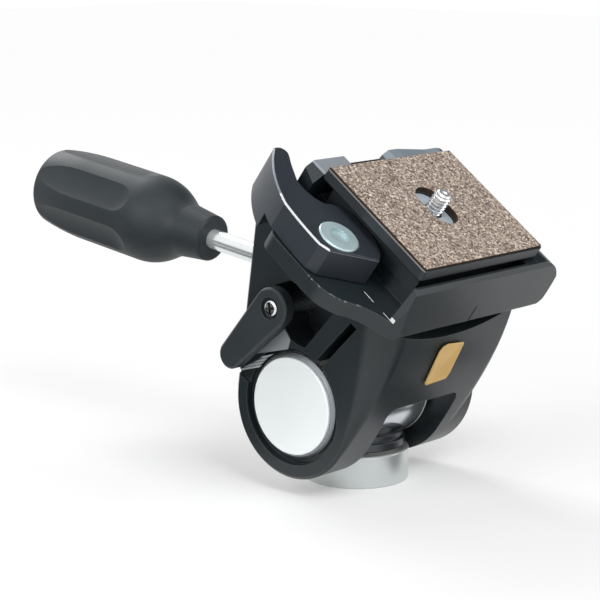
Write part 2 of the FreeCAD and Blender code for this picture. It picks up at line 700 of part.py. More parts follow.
def cam_shaft():
    """The wing lever's shaft, with the eccentric that works the shoe."""
    y, z = WING_AXIS
    shaft = cyl(WING_SHAFT_R, WING_IN, SHOE_X - SHOE_R - 1.0, y, z)
    shaft = shaft.cut(cyl(WING_SCREW_SHANK_R, WING_IN - 1, WING_IN + 6.0, y, z))
    length = math.hypot(y, z)
    cam = cyl(CAM_R, SHOE_X - SHOE_R - 1.0, SHOE_X + SHOE_R + 1.0, y * (1 + CAM_ECC / length),
              z * (1 + CAM_ECC / length))
    return shaft.fuse(cam).fuse(cyl(CAM_R, SHOE_X + SHOE_R + 1.0, WING_SHAFT_END, y, z))


def brake_shoe():
    """The round shoe that the cam presses onto the drum."""
    reach = math.hypot(*WING_AXIS) + CAM_ECC - CAM_R - GAP
    shoe = shoe_axis_shape(SHOE_R, DRUM_R - 3.0, reach)
    return shoe.cut(cyl(DRUM_R + GAP, -BODY_HALF, 0))


# ================================================================ clamp platform
def platform_outline(z0, z1):
    """The floor of the platform, seen from above, as a plate."""
    def p(x, y):
        return V(x, y, z0)
    front, rear, left, right = LIP_OUTER_Y, REAR_LIP_OUTER, LEFT_EDGE, RIGHT_EDGE
    sweep = [p(LEVER_PIVOT[0] + x, y) for x, y in FLANGE_SWEEP]
    side_front, side_rear = p(left, FLANGE_SIDE_Y[0]), p(left, FLANGE_SIDE_Y[1])
    c, bow = FLANGE_CORNER, 0.3 * FLANGE_CORNER
    corner = p(left + c, FLANGE_SIDE_Y[1] + c)
    back = [p(*q) for q in FLANGE_REAR] + [p(REAR_LEFT_X, rear)]
    r, r_bow = RIGHT_CORNER, 0.293 * RIGHT_CORNER
    edges = [
        Part.makeLine(p(right - r, front), p(FLANGE_START_X, front)),
        Part.makeLine(p(FLANGE_START_X, front), sweep[0]),
        Part.Arc(sweep[0], sweep[1], sweep[2]).toShape(),
        Part.Arc(sweep[2], sweep[3], side_front).toShape(),
        Part.makeLine(side_front, side_rear),
        Part.Arc(side_rear, p(left + bow, FLANGE_SIDE_Y[1] + c - bow), corner).toShape(),
        Part.makeLine(corner, back[0]),
        Part.makeLine(back[0], back[1]),
        Part.makeLine(back[1], back[2]),
        Part.makeLine(back[2], p(right - r, rear)),
        Part.Arc(p(right - r, rear), p(right - r_bow, rear - r_bow), p(right, rear - r)).toShape(),
        Part.makeLine(p(right, rear - r), p(right, front + r)),
        Part.Arc(p(right, front + r), p(right - r_bow, front + r_bow), p(right - r, front)).toShape(),
    ]
    return Part.Face(Part.Wire(edges)).extrude(V(0, 0, z1 - z0))


def lip_front_waste():
    """What lies in front of the lip's face and above its top."""
    crest, past = LIP_INNER_Y - 1.0, LIP_OUTER_Y - 20.0
    outline = [(crest, LIP_TOP), (crest - 1.1, LIP_TOP - 1.6), (LIP_OUTER_Y, BODY_TOP + 2.0),
               (LIP_OUTER_Y + 1.2, BODY_TOP), (LIP_OUTER_Y + 1.2, PAST_LOW), (past, PAST_LOW),
               (past, PAST_TOP), (crest, PAST_TOP)]
    face = prism_x(outline, LEFT_EDGE - 1.0, RIGHT_EDGE + 1.0)
    over = box(LEFT_EDGE - 1, RIGHT_EDGE + 1, crest - 1.0, LIP_INNER_Y + 0.5, LIP_TOP, PAST_TOP)
    return face.fuse(over)


def lip_end_waste():
    """What lies left of the lip, down to the floor."""
    outline = [(-PAST_X, FLOOR_Z), (LIP_LEFT - 3.0, FLOOR_Z), (LIP_LEFT, LIP_TOP + 1.0),
               (LIP_LEFT, PAST_TOP), (-PAST_X, PAST_TOP)]
    return prism_y(outline, LIP_OUTER_Y - 20.0, LIP_INNER_Y + 0.5)


def right_wall_waste():
    """What lies outside the right wall's falling top and rising underside."""
    def p(x, z):
        return V(x, LIP_OUTER_Y - 20.0, z)
    shoulder, flank, belly = p(RIGHT_SHOULDER_X, LIP_TOP), p(RIGHT_EDGE, RIGHT_FLANK_Z), p(*RIGHT_BELLY)
    flank_past, belly_end = p(PAST_X, RIGHT_FLANK_Z), p(RIGHT_BELLY_END, BODY_TOP)
    over = [
        Part.Arc(shoulder, p(*RIGHT_BOW), flank).toShape(),
        Part.makeLine(flank, flank_past),
        Part.makeLine(flank_past, p(PAST_X, PAST_TOP)),
        Part.makeLine(p(PAST_X, PAST_TOP), p(PLATE_HALF, PAST_TOP)),
        Part.makeLine(p(PLATE_HALF, PAST_TOP), p(PLATE_HALF, LIP_TOP)),
        Part.makeLine(p(PLATE_HALF, LIP_TOP), shoulder),
    ]
    under = [
        Part.Arc(flank, p(*RIGHT_BELLY_BOW), belly).toShape(),
        Part.makeLine(belly, belly_end),
        Part.makeLine(belly_end, p(RIGHT_BELLY_END, PAST_LOW)),
        Part.makeLine(p(RIGHT_BELLY_END, PAST_LOW), p(PAST_X, PAST_LOW)),
        Part.makeLine(p(PAST_X, PAST_LOW), flank_past),
        Part.makeLine(flank_past, flank),
    ]
    faces = [Part.Face(Part.Wire(edges)) for edges in (over, under)]
    return [face.extrude(V(0, 2.0 * PAST_X, 0)) for face in faces]


def rear_lip_waste():
    """What lies over the rear lip: its left end and the dip between its blocks."""
    (left, dip_start), (dip_end, right) = REAR_BLOCKS
    top, dip, step = REAR_LIP_TOP, LIP_TOP - REAR_DIP, REAR_STEP
    outline = [(-PAST_X, FLOOR_Z), (left, FLOOR_Z), (left, top - REAR_END_CUT), (left + REAR_END_CUT, top),
               (dip_start - step, top), (dip_start, top - step), (dip_start + 0.5, dip), (dip_end - 0.5, dip),
               (dip_end, top - step), (dip_end + step, top), (REAR_FALL_X, top), (right, LIP_TOP),
               (PAST_X, LIP_TOP - 0.2), (PAST_X, PAST_TOP), (-PAST_X, PAST_TOP)]
    return prism_y(outline, REAR_LIP_INNER - 0.5, PAST_X)


def clamp_platform():
    """The platform with its lips, deck and jaw, cut from one block."""
    body = platform_outline(BODY_TOP, REAR_LIP_TOP + 1.0)
    for waste in right_wall_waste() + [lip_front_waste(), lip_end_waste(), rear_lip_waste()]:
        body = body.cut(waste)
    jaw = FOOT_HALF + GAP
    body = body.cut(box(LEFT_EDGE - 1, DECK_LEFT, LIP_INNER_Y, REAR_LIP_INNER, FLOOR_Z, PAST_TOP))
    body = body.cut(box(DECK_LEFT - 1, jaw, LIP_INNER_Y, REAR_LIP_INNER, DECK_Z, PAST_TOP))
    body = body.cut(box(jaw - 1, PLATE_HALF + 0.6, LIP_INNER_Y, REAR_LIP_INNER, JAW_TOP, PAST_TOP))
    x, low, high = LIP_NOTCH_X, BODY_TOP + 1.0, BODY_TOP + 7.5
    outline = [(x, high), (x + 0.8, high), (x - 1.0, low), (x - 1.8, low)]
    notch = prism_y(outline, LIP_OUTER_Y - 1.0, LIP_OUTER_Y + 1.2)
    body = body.cut(notch)
    px, py = LEVER_PIVOT
    body = body.cut(post(PIVOT_STEM_R, BODY_TOP - 1, FLOOR_Z + 1, px, py))
    for x, y in PLATFORM_SCREWS:
        body = body.cut(post(PLATFORM_SCREW_R, BODY_TOP - 1, DECK_Z + 1, x, y))
        body = body.cut(post(PLATFORM_SCREW_HEAD_R, DECK_Z - PLATFORM_SCREW_HEAD_H - 1.0, DECK_Z + 1, x, y))
    return body.removeSplitter()


def platform_screws():
    """The four screws that hold the platform on the housing."""
    shapes = []
    seat = DECK_Z - PLATFORM_SCREW_HEAD_H - 1.0
    for x, y in PLATFORM_SCREWS:
        head = post(PLATFORM_SCREW_HEAD_R - 0.2, seat, seat + PLATFORM_SCREW_HEAD_H, x, y)
        head = head.cut(post(1.8, seat + 1.2, seat + PLATFORM_SCREW_HEAD_H + 1, x, y))
        shapes.append(head.fuse(post(PLATFORM_SCREW_R, BODY_TOP - PLATFORM_SCREW_DEPTH + 1.0, seat, x, y)))
    return Part.makeCompound(shapes)


# ================================================================ release lever
def lever_outline(z):
    """The lever seen from above, as a face."""
    def p(x, y):
        return V(x, y, z)
    px, py = LEVER_PIVOT
    def at(offset):
        return p(px + offset[0], py + offset[1])
    def on_nose(degrees):
        a = math.radians(degrees)
        return at((LEVER_NOSE_R * math.cos(a), LEVER_NOSE_R * math.sin(a)))
    nose, nose_end = on_nose(LEVER_NOSE_ARC[0]), on_nose(0.0)
    side = at((LEVER_NOSE_R, LEVER_SIDE_Y))
    waist, back = [at(q) for q in LEVER_WAIST], [at(q) for q in LEVER_BACK]
    tip, outer = [at(q) for q in LEVER_TIP], [at(q) for q in LEVER_OUTER]
    edges = [
        Part.Arc(nose, on_nose(LEVER_NOSE_ARC[1]), nose_end).toShape(),
        Part.makeLine(nose_end, side),
        Part.Arc(side, waist[0], waist[1]).toShape(),
        Part.Arc(waist[1], back[0], back[1]).toShape(),
        Part.Arc(back[1], back[2], back[3]).toShape(),
        Part.Arc(back[3], tip[0], tip[1]).toShape(),
        Part.Arc(tip[1], outer[0], outer[1]).toShape(),
        Part.Arc(outer[1], outer[2], outer[3]).toShape(),
        Part.makeLine(outer[3], at(LEVER_HEEL)),
        Part.makeLine(at(LEVER_HEEL), nose),
    ]
    return Part.Face(Part.Wire(edges))


def release_lever():
    """The side lever: cam nose, arm and deep finger pad."""
    px, py = LEVER_PIVOT
    shoulder = LEVER_TOP - LEVER_BEVEL
    body = lever_outline(LEVER_BOTTOM).extrude(V(0, 0, shoulder - LEVER_BOTTOM))
    crown = lever_outline(LEVER_TOP).makeOffset2D(-LEVER_BEVEL)
    bevel = Part.makeLoft([lever_outline(shoulder).OuterWire, crown.OuterWire], True, True)
    body = body.fuse(bevel)
    pad = lever_outline(LEVER_PAD_BOTTOM).extrude(V(0, 0, LEVER_BOTTOM + 1.0 - LEVER_PAD_BOTTOM))
    pad = pad.cut(post(LEVER_PAD_INNER_R, LEVER_PAD_BOTTOM - 1, LEVER_TOP, px, py))
    body = body.fuse(pad)
    body = body.cut(post(LEVER_BORE_R + RUN, LEVER_BOTTOM - 1, LEVER_TOP + 1, px, py))
    seat = LEVER_TOP - PIVOT_HEAD_H + PIVOT_PROUD - 0.2
    body = body.cut(post(PIVOT_HEAD_R + GAP, seat, LEVER_TOP + 1, px, py))
    coil_room = post(SPRING_COIL_R + 1.2, LEVER_BOTTOM - 1, LEVER_BOTTOM + COIL_ROOM_H, px, py)
    return body.cut(coil_room).removeSplitter()


def lever_pivot_screw():
    """The shouldered screw that the release lever turns on."""
    px, py = LEVER_PIVOT
    top = LEVER_TOP + PIVOT_PROUD
    head = turned_post(PIVOT_HEAD_R, top - PIVOT_HEAD_H, top, 0.4, px, py)
    head = head.cut(post(PIVOT_SOCKET_R, top - 1.0, top + 1, px, py))
    shank = post(LEVER_BORE_R, FLOOR_Z, top - PIVOT_HEAD_H, px, py)
    return head.fuse(shank).fuse(post(PIVOT_STEM_R, BODY_TOP, FLOOR_Z, px, py))


def lever_spring():
    """The torsion spring under the lever, as one ring of closed turns."""
    px, py = LEVER_PIVOT
    top = FLOOR_Z + 2.0 * SPRING_WIRE_R * SPRING_TURNS
    ring = post(SPRING_COIL_R + SPRING_WIRE_R, FLOOR_Z, top, px, py)
    return ring.cut(post(SPRING_COIL_R - SPRING_WIRE_R, FLOOR_Z - 1, top + 1, px, py))


# ================================================================ quick plate
def quick_plate():
    """The quick plate: slab with a rim for the cork, dovetail foot below."""
    slab = box(-PLATE_HALF, PLATE_HALF, PLATE_FRONT, PLATE_REAR, PLATE_BOTTOM, PLATE_TOP)
    corners = edges_where(slab, lambda e, m: abs(m.z - (PLATE_BOTTOM + PLATE_TOP) / 2.0) < 0.01)
    slab = slab.makeFillet(1.5, corners)
    low = edges_where(slab, lambda e, m: abs(m.z - PLATE_BOTTOM) < 0.01)
    slab = slab.makeChamfer(1.0, low)
    half = PLATE_HALF - PLATE_RIM
    bed = box(-half, half, PLATE_FRONT + PLATE_RIM, PLATE_REAR - PLATE_RIM, CORK_BED, PLATE_TOP + 1)
    slab = slab.cut(bed)
    foot = box(-FOOT_HALF, FOOT_HALF, FOOT_FRONT, FOOT_REAR, DECK_Z, PLATE_BOTTOM + 0.5)
    plate = slab.fuse(foot)
    plate = plate.cut(post(SCREW_POCKET_R, DECK_Z - 1, CORK_BED - 2.6, 0, SCREW_Y))
    plate = plate.cut(slot_z(CORK_HOLE_W, CORK_HOLE_L, WINDOW_FLOOR, CORK_BED + 1, 0, SCREW_Y))
    return plate.cut(post(SCREW_R + RUN, DECK_Z, CORK_TOP, 0, SCREW_Y)).removeSplitter()


def cork_pad():
    """The cork pad, with its oval window round the camera screw."""
    edge = PLATE_RIM + 0.05
    half = PLATE_HALF - edge
    pad = box(-half, half, PLATE_FRONT + edge, PLATE_REAR - edge, CORK_BED, CORK_TOP)
    return pad.cut(slot_z(CORK_HOLE_W, CORK_HOLE_L, CORK_BED - 1, CORK_TOP + 1, 0, SCREW_Y))


def camera_screw():
    """The 1/4 inch camera screw with its coin-slotted head."""
    head_top = CORK_BED - 2.6 - CLIP_T
    head_bottom = DECK_Z + GAP
    screw = turned_post(SCREW_R, SCREW_RELIEF_TOP, SCREW_TOP, 0.5, 0, SCREW_Y)
    neck = post(SCREW_R + 0.9, head_bottom + SCREW_HEAD_H, head_top, 0, SCREW_Y)
    head = post(SCREW_HEAD_R, head_bottom, head_bottom + SCREW_HEAD_H, 0, SCREW_Y)
    head = head.cut(box(-SCREW_HEAD_R - 1, SCREW_HEAD_R + 1, SCREW_Y - 0.8, SCREW_Y + 0.8, head_bottom - 1,
                        head_bottom + 1.4))
    relief = post(SCREW_RELIEF_R, head_top - 0.5, SCREW_RELIEF_TOP, 0, SCREW_Y)
    return screw.fuse(relief).fuse(neck).fuse(head).removeSplitter()


def screw_clip():
    """The clip ring that keeps the camera screw in the plate."""
    z0 = CORK_BED - 2.6 - CLIP_T
    ring = post(CLIP_R, z0, z0 + CLIP_T, 0, SCREW_Y)
    return ring.cut(post(SCREW_RELIEF_R, z0 - 1, z0 + CLIP_T + 1, 0, SCREW_Y))


# ================================================================ assembly
FIXED_PARTS = {
    "base": base,
    "tripod_bush": tripod_bush,
    "pan_bolt": pan_bolt,
    "pan_washer": pan_washer,
    "pan_foot": pan_foot,
    "tilt_drum": tilt_drum,
    "pan_spring_washers": pan_spring,
    "pan_nut": pan_nut,
    "drum_end_disc": drum_end_disc,
}

HEAD_PARTS = {
    "housing": housing,
    "drum_liner": drum_liner,
    "journal_bush": journal_bush,
    "clamp_nut": clamp_nut,
    "handle_rod": handle_rod,
    "handle_collar": handle_collar,
    "handle_grip": handle_grip,
    "grip_end_cap": grip_end_cap,
    "wing_lever": wing_lever,
    "wing_screw": wing_screw,
    "cam_shaft": cam_shaft,
    "brake_shoe": brake_shoe,
    "clamp_platform": clamp_platform,
    "platform_screws": platform_screws,
    "release_lever": release_lever,
    "lever_pivot_screw": lever_pivot_screw,
    "lever_spring": lever_spring,
    "quick_plate": quick_plate,
    "cork_pad": cork_pad,
    "camera_screw": camera_screw,
    "screw_clip": screw_clip,
}


def main():
    """Build every piece and write one STEP file for each."""
    os.makedirs("parts", exist_ok=True)
    shapes = {name: make() for name, make in FIXED_PARTS.items()}
    for name, make in HEAD_PARTS.items():
        shapes[name] = to_rest(make())
    for name, shape in shapes.items():
        shape.exportStep("parts/" + name + ".step")
        box_ = shape.BoundBox
        print("%-20s solids %d valid %s vol %.0f  x %.1f..%.1f y %.1f..%.1f z %.1f..%.1f" % (
            name, len(shape.Solids), shape.isValid(), shape.Volume, box_.XMin, box_.XMax,
            box_.YMin, box_.YMax, box_.ZMin, box_.ZMax))


main()
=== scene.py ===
"""Finishes and fine pieces of a one-handle pan and tilt head.

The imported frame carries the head's solids at their real size.  This script dresses each
of them, adds the pieces that are too fine for the frame, and sets the stage: floor,
cards, lamps and camera.  The frame is in metres, and the fields of pieces and finishes
are in millimetres where a comment or a docstring says so.  At rest the head is tilted
forward about the tilt axis, which runs along X.
"""
import json
import logging
import math
from dataclasses import dataclass, replace
from enum import Enum

import bpy
from bpy.types import ColorRamp, ID, Material, Modifier, Node, NodeSocket, Object, World
from mathutils import Matrix, Vector


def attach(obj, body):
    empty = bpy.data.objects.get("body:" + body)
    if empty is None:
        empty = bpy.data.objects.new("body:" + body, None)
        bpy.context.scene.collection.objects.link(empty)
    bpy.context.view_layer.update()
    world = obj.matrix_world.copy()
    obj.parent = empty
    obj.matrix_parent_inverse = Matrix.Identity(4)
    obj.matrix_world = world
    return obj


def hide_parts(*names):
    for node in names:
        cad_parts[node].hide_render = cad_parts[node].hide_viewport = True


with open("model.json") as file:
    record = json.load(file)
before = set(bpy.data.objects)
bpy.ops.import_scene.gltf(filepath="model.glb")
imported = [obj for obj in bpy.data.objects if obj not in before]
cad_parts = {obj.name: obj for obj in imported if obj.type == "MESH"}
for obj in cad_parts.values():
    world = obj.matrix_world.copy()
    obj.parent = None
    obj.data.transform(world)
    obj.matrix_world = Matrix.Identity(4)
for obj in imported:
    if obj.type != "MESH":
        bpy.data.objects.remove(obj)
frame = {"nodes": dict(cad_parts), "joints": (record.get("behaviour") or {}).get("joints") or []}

LOG = logging.getLogger("tripod_head")
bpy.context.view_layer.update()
MM = 0.001

Pair = tuple[float, float]
Triple = tuple[float, float, float]

# The level head's axes in the frame at rest, and places that pieces and finishes share, in millimetres.
TILT_AXIS_Z = next(joint for joint in frame["joints"] if joint["name"] == "tilt")["pos_m"][2]
REST_TILT = math.radians(36.5)
HEAD_UP = Vector((0.0, -math.sin(REST_TILT), math.cos(REST_TILT)))
HEAD_BACK = Vector((0.0, math.cos(REST_TILT), math.sin(REST_TILT)))
RIGHT = Vector((1.0, 0.0, 0.0))
WING_AXIS = (23.9, 25.2)
LEVER_PIVOT = (-43.5, 14.7)
STUD_BACK = 13.2

# Settings that finishes and pieces share; STEP is the least step of a turned piece, in millimetres.
EDGE_GAIN = 6.0
EDGE_SAMPLES = 4
CLOUD_DETAIL = 3.0
GRAIN_DETAIL = 2.0
SMOOTH_ANGLE = math.radians(35.0)
TOP_FACES = 0.9
TURNED_SIDES = 64
ROUND_SIDES = 48
WELD = 1e-7
STEP = 0.01
WHITE = (1.0, 1.0, 1.0)


class Body(Enum):
    """The bodies that the new pieces ride on."""

    HEAD = "head"
    PLATE = "plate"
    STUD = "stud"
    WING = "wing"


class Slot(Enum):
    """The record's material slots, passed with the new pieces but not read."""

    BLACK_CAST = "black_cast"
    BRASS = "brass"
    CHROME = "chrome"
    STEEL = "steel"


class Maths(Enum):
    """The Math node's operations that the operators use."""

    ADD = "ADD"
    SUBTRACT = "SUBTRACT"
    MULTIPLY = "MULTIPLY"
    OVER = "GREATER_THAN"
    UNDER = "LESS_THAN"


def scaled(values: tuple, factor: float) -> tuple:
    """Every number of a tuple times a factor."""
    return tuple(factor * value for value in values)


def head_matrix() -> Matrix:
    """The place of the level head's axes in the frame at rest."""
    return Matrix.Translation((0.0, 0.0, TILT_AXIS_Z)) @ Matrix.Rotation(REST_TILT, 4, "X")


def outwards(x: float, y: float = 0.0, z: float = 0.0) -> Matrix:
    """A place on the level head's left side, in millimetres: local Z points left, local X back."""
    return Matrix(((0.0, 0.0, -1.0, x * MM), (1.0, 0.0, 0.0, y * MM), (0.0, 1.0, 0.0, z * MM),
                   (0.0, 0.0, 0.0, 1.0)))


# ---------------- shader boards
class Wire:
    """One output socket that takes part in Python expressions."""

    def __init__(self, board: "Board", socket: NodeSocket) -> None:
        """Keep the socket and the board that it belongs to."""
        self.board = board
        self.socket = socket

    def _maths(self, kind: Maths, first: object, second: object) -> "Wire":
        """Add one Math node for an operator."""
        node = self.board.node("ShaderNodeMath", {"operation": kind.value}, {0: first, 1: second})
        return self.board.wire(node)

    def __add__(self, other: object) -> "Wire":
        """Sum."""
        return self._maths(Maths.ADD, self, other)

    __radd__ = __add__

    def __sub__(self, other: object) -> "Wire":
        """Difference."""
        return self._maths(Maths.SUBTRACT, self, other)

    def __rsub__(self, other: object) -> "Wire":
        """Difference, with the plain number first."""
        return self._maths(Maths.SUBTRACT, other, self)

    def __mul__(self, other: object) -> "Wire":
        """Product."""
        return self._maths(Maths.MULTIPLY, self, other)

    __rmul__ = __mul__

    def over(self, level: float) -> "Wire":
        """One where the value is over a level, else nought."""
        return self._maths(Maths.OVER, self, level)

    def under(self, level: float) -> "Wire":
        """One where the value is under a level, else nought."""
        return self._maths(Maths.UNDER, self, level)

    def within(self, limits: Pair) -> "Wire":
        """One where the value lies between two limits, else nought."""
        low, high = limits
        return self.over(low) * self.under(high)


class Board:
    """The node tree of one material, with a Principled shader on it, or of the world."""

    def __init__(self, name: str, world: World | None = None) -> None:
        """Start an empty tree.

        Args:
            name: the new material's name.
            world: the world whose tree is used in place of a new material's.
        """
        self.material = world or bpy.data.materials.new(name)
        self.material.use_nodes = True
        self.tree = self.material.node_tree
        self.tree.nodes.clear()
        if world:
            self.out = self.node("ShaderNodeOutputWorld")
            return
        self.out = self.node("ShaderNodeOutputMaterial")
        self.shader = self.node("ShaderNodeBsdfPrincipled")
        self.show(self.shader)

    def node(self, kind: str, settings: dict | None = None, inputs: dict | None = None) -> Node:
        """Add a node.

        Args:
            kind: the node's type.
            settings: properties that are set first; "stops" fills a colour ramp.
            inputs: socket name or number to a value, or to a Wire that feeds it.

        Returns:
            The new node.
        """
        node = self.tree.nodes.new(kind)
        for key, value in (settings or {}).items():
            if key == "stops":
                self._fill_ramp(node.color_ramp, value)
            else:
                setattr(node, key, value)
        for key, value in (inputs or {}).items():
            self.feed(node.inputs[key], value)
        return node

    def wire(self, node: Node, output: int | str = 0) -> Wire:
        """Wrap one output of a node."""
        return Wire(self, node.outputs[output])

    def show(self, node: Node) -> None:
        """Make a shader node the surface."""
        self.feed(self.out.inputs["Surface"], self.wire(node))

    def feed(self, socket: NodeSocket, value: object) -> None:
        """Link a Wire to a socket, or set the socket's own value.

        Args:
            socket: the socket that is fed.
            value: a Wire, a number or a tuple; a colour of three parts is made opaque.
        """
        if isinstance(value, Wire):
            self.tree.links.new(value.socket, socket)
        elif socket.type == "RGBA" and len(value) == 3:
            socket.default_value = (*value, 1.0)
        else:
            socket.default_value = value

    def _fill_ramp(self, ramp: ColorRamp, stops: tuple) -> None:
        """Give a colour ramp its stops.

        Args:
            ramp: the ramp.
            stops: pairs of a position and a colour.
        """
        while len(ramp.elements) < len(stops):
            ramp.elements.new(0.5)
        for element, (position, colour) in zip(ramp.elements, stops):
            element.position = position
            element.color = (*colour, 1.0)

    def set(self, **values: object) -> None:
        """Feed the Principled shader; underscores in names stand for spaces."""
        for key, value in values.items():
            self.feed(self.shader.inputs[key.replace("_", " ")], value)

    def place(self, stretch: Triple = (1.0, 1.0, 1.0)) -> Wire:
        """Object coordinates.

        Args:
            stretch: a factor on each axis.

        Returns:
            The coordinates.
        """
        coords = self.wire(self.node("ShaderNodeTexCoord"), "Object")
        return self.wire(self.node("ShaderNodeMapping", {"vector_type": "POINT"},
                                   {"Vector": coords, "Scale": stretch}))

    def dot(self, first: Wire, second: Wire | Vector) -> Wire:
        """The dot product of two vectors.

        Args:
            first: a vector on the board.
            second: another, or a plain one.

        Returns:
            The product.
        """
        other = second if isinstance(second, Wire) else tuple(second)
        node = self.node("ShaderNodeVectorMath", {"operation": "DOT_PRODUCT"}, {0: first, 1: other})
        return self.wire(node, "Value")

    def on_head(self, place: Wire) -> tuple[Wire, Wire, Wire]:
        """Where a place lies on the level head.

        Args:
            place: object coordinates.

        Returns:
            How far it is to the right, back and up of the tilt axis, in metres.
        """
        return (self.dot(place, RIGHT), self.dot(place, HEAD_BACK) - TILT_AXIS_Z * HEAD_BACK.z,
                self.dot(place, HEAD_UP) - TILT_AXIS_Z * HEAD_UP.z)

    def facing(self, direction: Vector) -> Wire:
        """How far the surface faces a direction, minus one to one."""
        return self.dot(self.wire(self.node("ShaderNodeTexCoord"), "Normal"), direction)

    def soft_edge(self, radius: float) -> Wire:
        """The surface's direction with its sharp edges rounded over."""
        return self.wire(self.node("ShaderNodeBevel", {"samples": EDGE_SAMPLES}, {"Radius": radius}))

    def edges(self, radius: float) -> Wire:
        """Nought on flat stretches, rising to one along sharp edges."""
        plain = self.wire(self.node("ShaderNodeNewGeometry"), "Normal")
        return self.span((1.0 - self.dot(self.soft_edge(radius), plain)) * EDGE_GAIN, (0.0, 1.0))

    def noise(self, scale: float, detail: float = GRAIN_DETAIL, place: Wire | None = None) -> Wire:
        """A cloudy or grainy pattern.

        Args:
            scale: lumps per metre, roughly.
            detail: how many finer layers it has.
            place: coordinates, if they aren't plain object coordinates.

        Returns:
            The pattern, nought to one.
        """
        node = self.node("ShaderNodeTexNoise", None,
                         {"Vector": place or self.place(), "Scale": scale, "Detail": detail})
        return self.wire(node, "Fac")

    def ramp(self, value: Wire, stops: tuple) -> Wire:
        """Colours picked by a value."""
        return self.wire(self.node("ShaderNodeValToRGB", {"stops": stops}, {"Fac": value}), "Color")

    def mix(self, factor: object, first: object, second: object) -> Wire:
        """Blend two colours: the first where the factor is nought, the second where it is one."""
        node = self.node("ShaderNodeMix", {"data_type": "RGBA"}, {0: factor, 6: first, 7: second})
        return self.wire(node, 2)

    def span(self, value: Wire, limits: Pair) -> Wire:
        """Spread nought to one over a range."""
        inputs = {"Value": value, "To Min": limits[0], "To Max": limits[1]}
        return self.wire(self.node("ShaderNodeMapRange", None, inputs))

    def bump(self, height: Wire, depth: float, strength: float, edge: float = 0.0) -> None:
        """Raise the surface by a height pattern.

        Args:
            height: the pattern.
            depth: its height in metres.
            strength: how strongly it shows, nought to one.
            edge: the radius in metres that sharp edges are rounded over by.
        """
        inputs = {"Height": height, "Distance": depth, "Strength": strength}
        if edge:
            inputs["Normal"] = self.soft_edge(edge)
        self.set(Normal=self.wire(self.node("ShaderNodeBump", None, inputs)))

    def seen(self) -> Wire:
        """What the camera sees, by itself, in a reflection or through glass.

        Returns:
            One for those rays, else nought.
        """
        paths = self.node("ShaderNodeLightPath")
        camera, glossy, through = (self.wire(paths, output) for output in
                                   ("Is Camera Ray", "Is Glossy Ray", "Is Transmission Ray"))
        return camera + glossy + through

    def show_mixed(self, factor: Wire, first: Node, second: Node) -> None:
        """Make a blend of two shader nodes the surface."""
        inputs = {0: factor, 1: self.wire(first), 2: self.wire(second)}
        self.show(self.node("ShaderNodeMixShader", None, inputs))


# ---------------- finishes
ANY_WAY = (-2.0, 2.0)
ANYWHERE = (-200.0, 200.0)
UPWARD = (0.6, 2.0)


@dataclass(frozen=True)
class PaleStrip:
    """A paler stretch of a painted piece, in the level head's axes and millimetres: as one of a paint's
    highlight strips it is a painted highlight, as one of its chips a patch of pale flakes of wear.
    """

    colour: Triple
    lowest: float
    faces_up: Pair = ANY_WAY
    faces_right: Pair = ANY_WAY
    across: Pair = ANYWHERE
    back: Pair = ANYWHERE

    def mask(self, board: Board, place: Wire) -> Wire:
        """Find the strip.

        Args:
            board: the material's board.
            place: object coordinates.

        Returns:
            One on the strip, else nought.
        """
        right, back, up = board.on_head(place)
        upward = board.facing(HEAD_UP).within(self.faces_up)
        rightward = board.facing(RIGHT).within(self.faces_right)
        lies = right.within(scaled(self.across, MM)) * back.within(scaled(self.back, MM))
        return upward * rightward * lies * up.over(self.lowest * MM)


@dataclass(frozen=True)
class BlackPaint:
    """Satin black paint over a cast body, with a fine grain, edges paled partly by wear and partly by a
    painted highlight, chips, and stretches of painted highlight.
    """

    name: str
    colour: Triple
    worn: Triple
    edge_wear_and_highlight_colour: Triple = (0.11, 0.12, 0.13)
    rough: Pair = (0.34, 0.46)
    sheen_level: float = 0.34
    cloud_scale: float = 38.0
    rub_scale: float = 420.0
    rub_span: Pair = (0.1, 0.9)
    grain: float = 900.0
    depth: float = 0.00005
    strength: float = 0.5
    edge: float = 0.0004
    ior: float = 1.5
    coat: float = 0.0
    coat_rough: float = 0.28
    highlight_strips: tuple = ()
    chips: tuple = ()
    chip_edge: float = 0.0006
    chip_least: float = 0.12
    chip_scale: float = 800.0
    chip_level: float = 0.60

    def build(self) -> Material:
        """Make the finish.

        Returns:
            Its material.
        """
        board = Board(self.name)
        place = board.place()
        cloud = board.noise(self.cloud_scale, CLOUD_DETAIL, place)
        # Paler edges: partly wear, patched by a noise, and partly a painted highlight along every sharp
        # edge.
        rubs = board.span(board.noise(self.rub_scale, CLOUD_DETAIL, place), self.rub_span)
        edge_wear_and_highlight = board.edges(self.edge) * rubs
        colour = board.mix(edge_wear_and_highlight, board.mix(cloud, self.colour, self.worn), self.edge_wear_and_highlight_colour)
        # Painted highlights: the paint's strips, where edges and upward faces catch the light.
        for strip in self.highlight_strips:
            colour = board.mix(strip.mask(board, place), colour, strip.colour)
        for chip in self.chips:
            flaked = board.edges(self.chip_edge).over(self.chip_least)
            flaked = flaked * board.noise(self.chip_scale, CLOUD_DETAIL, place).over(self.chip_level)
            colour = board.mix(chip.mask(board, place) * flaked, colour, chip.colour)
        board.set(Base_Color=colour, Roughness=board.span(cloud, self.rough), IOR=self.ior,
                  Specular_IOR_Level=self.sheen_level, Coat_Weight=self.coat,
                  Coat_Roughness=self.coat_rough)
        board.bump(board.noise(self.grain, place=place), self.depth, self.strength, self.edge)
        return board.material


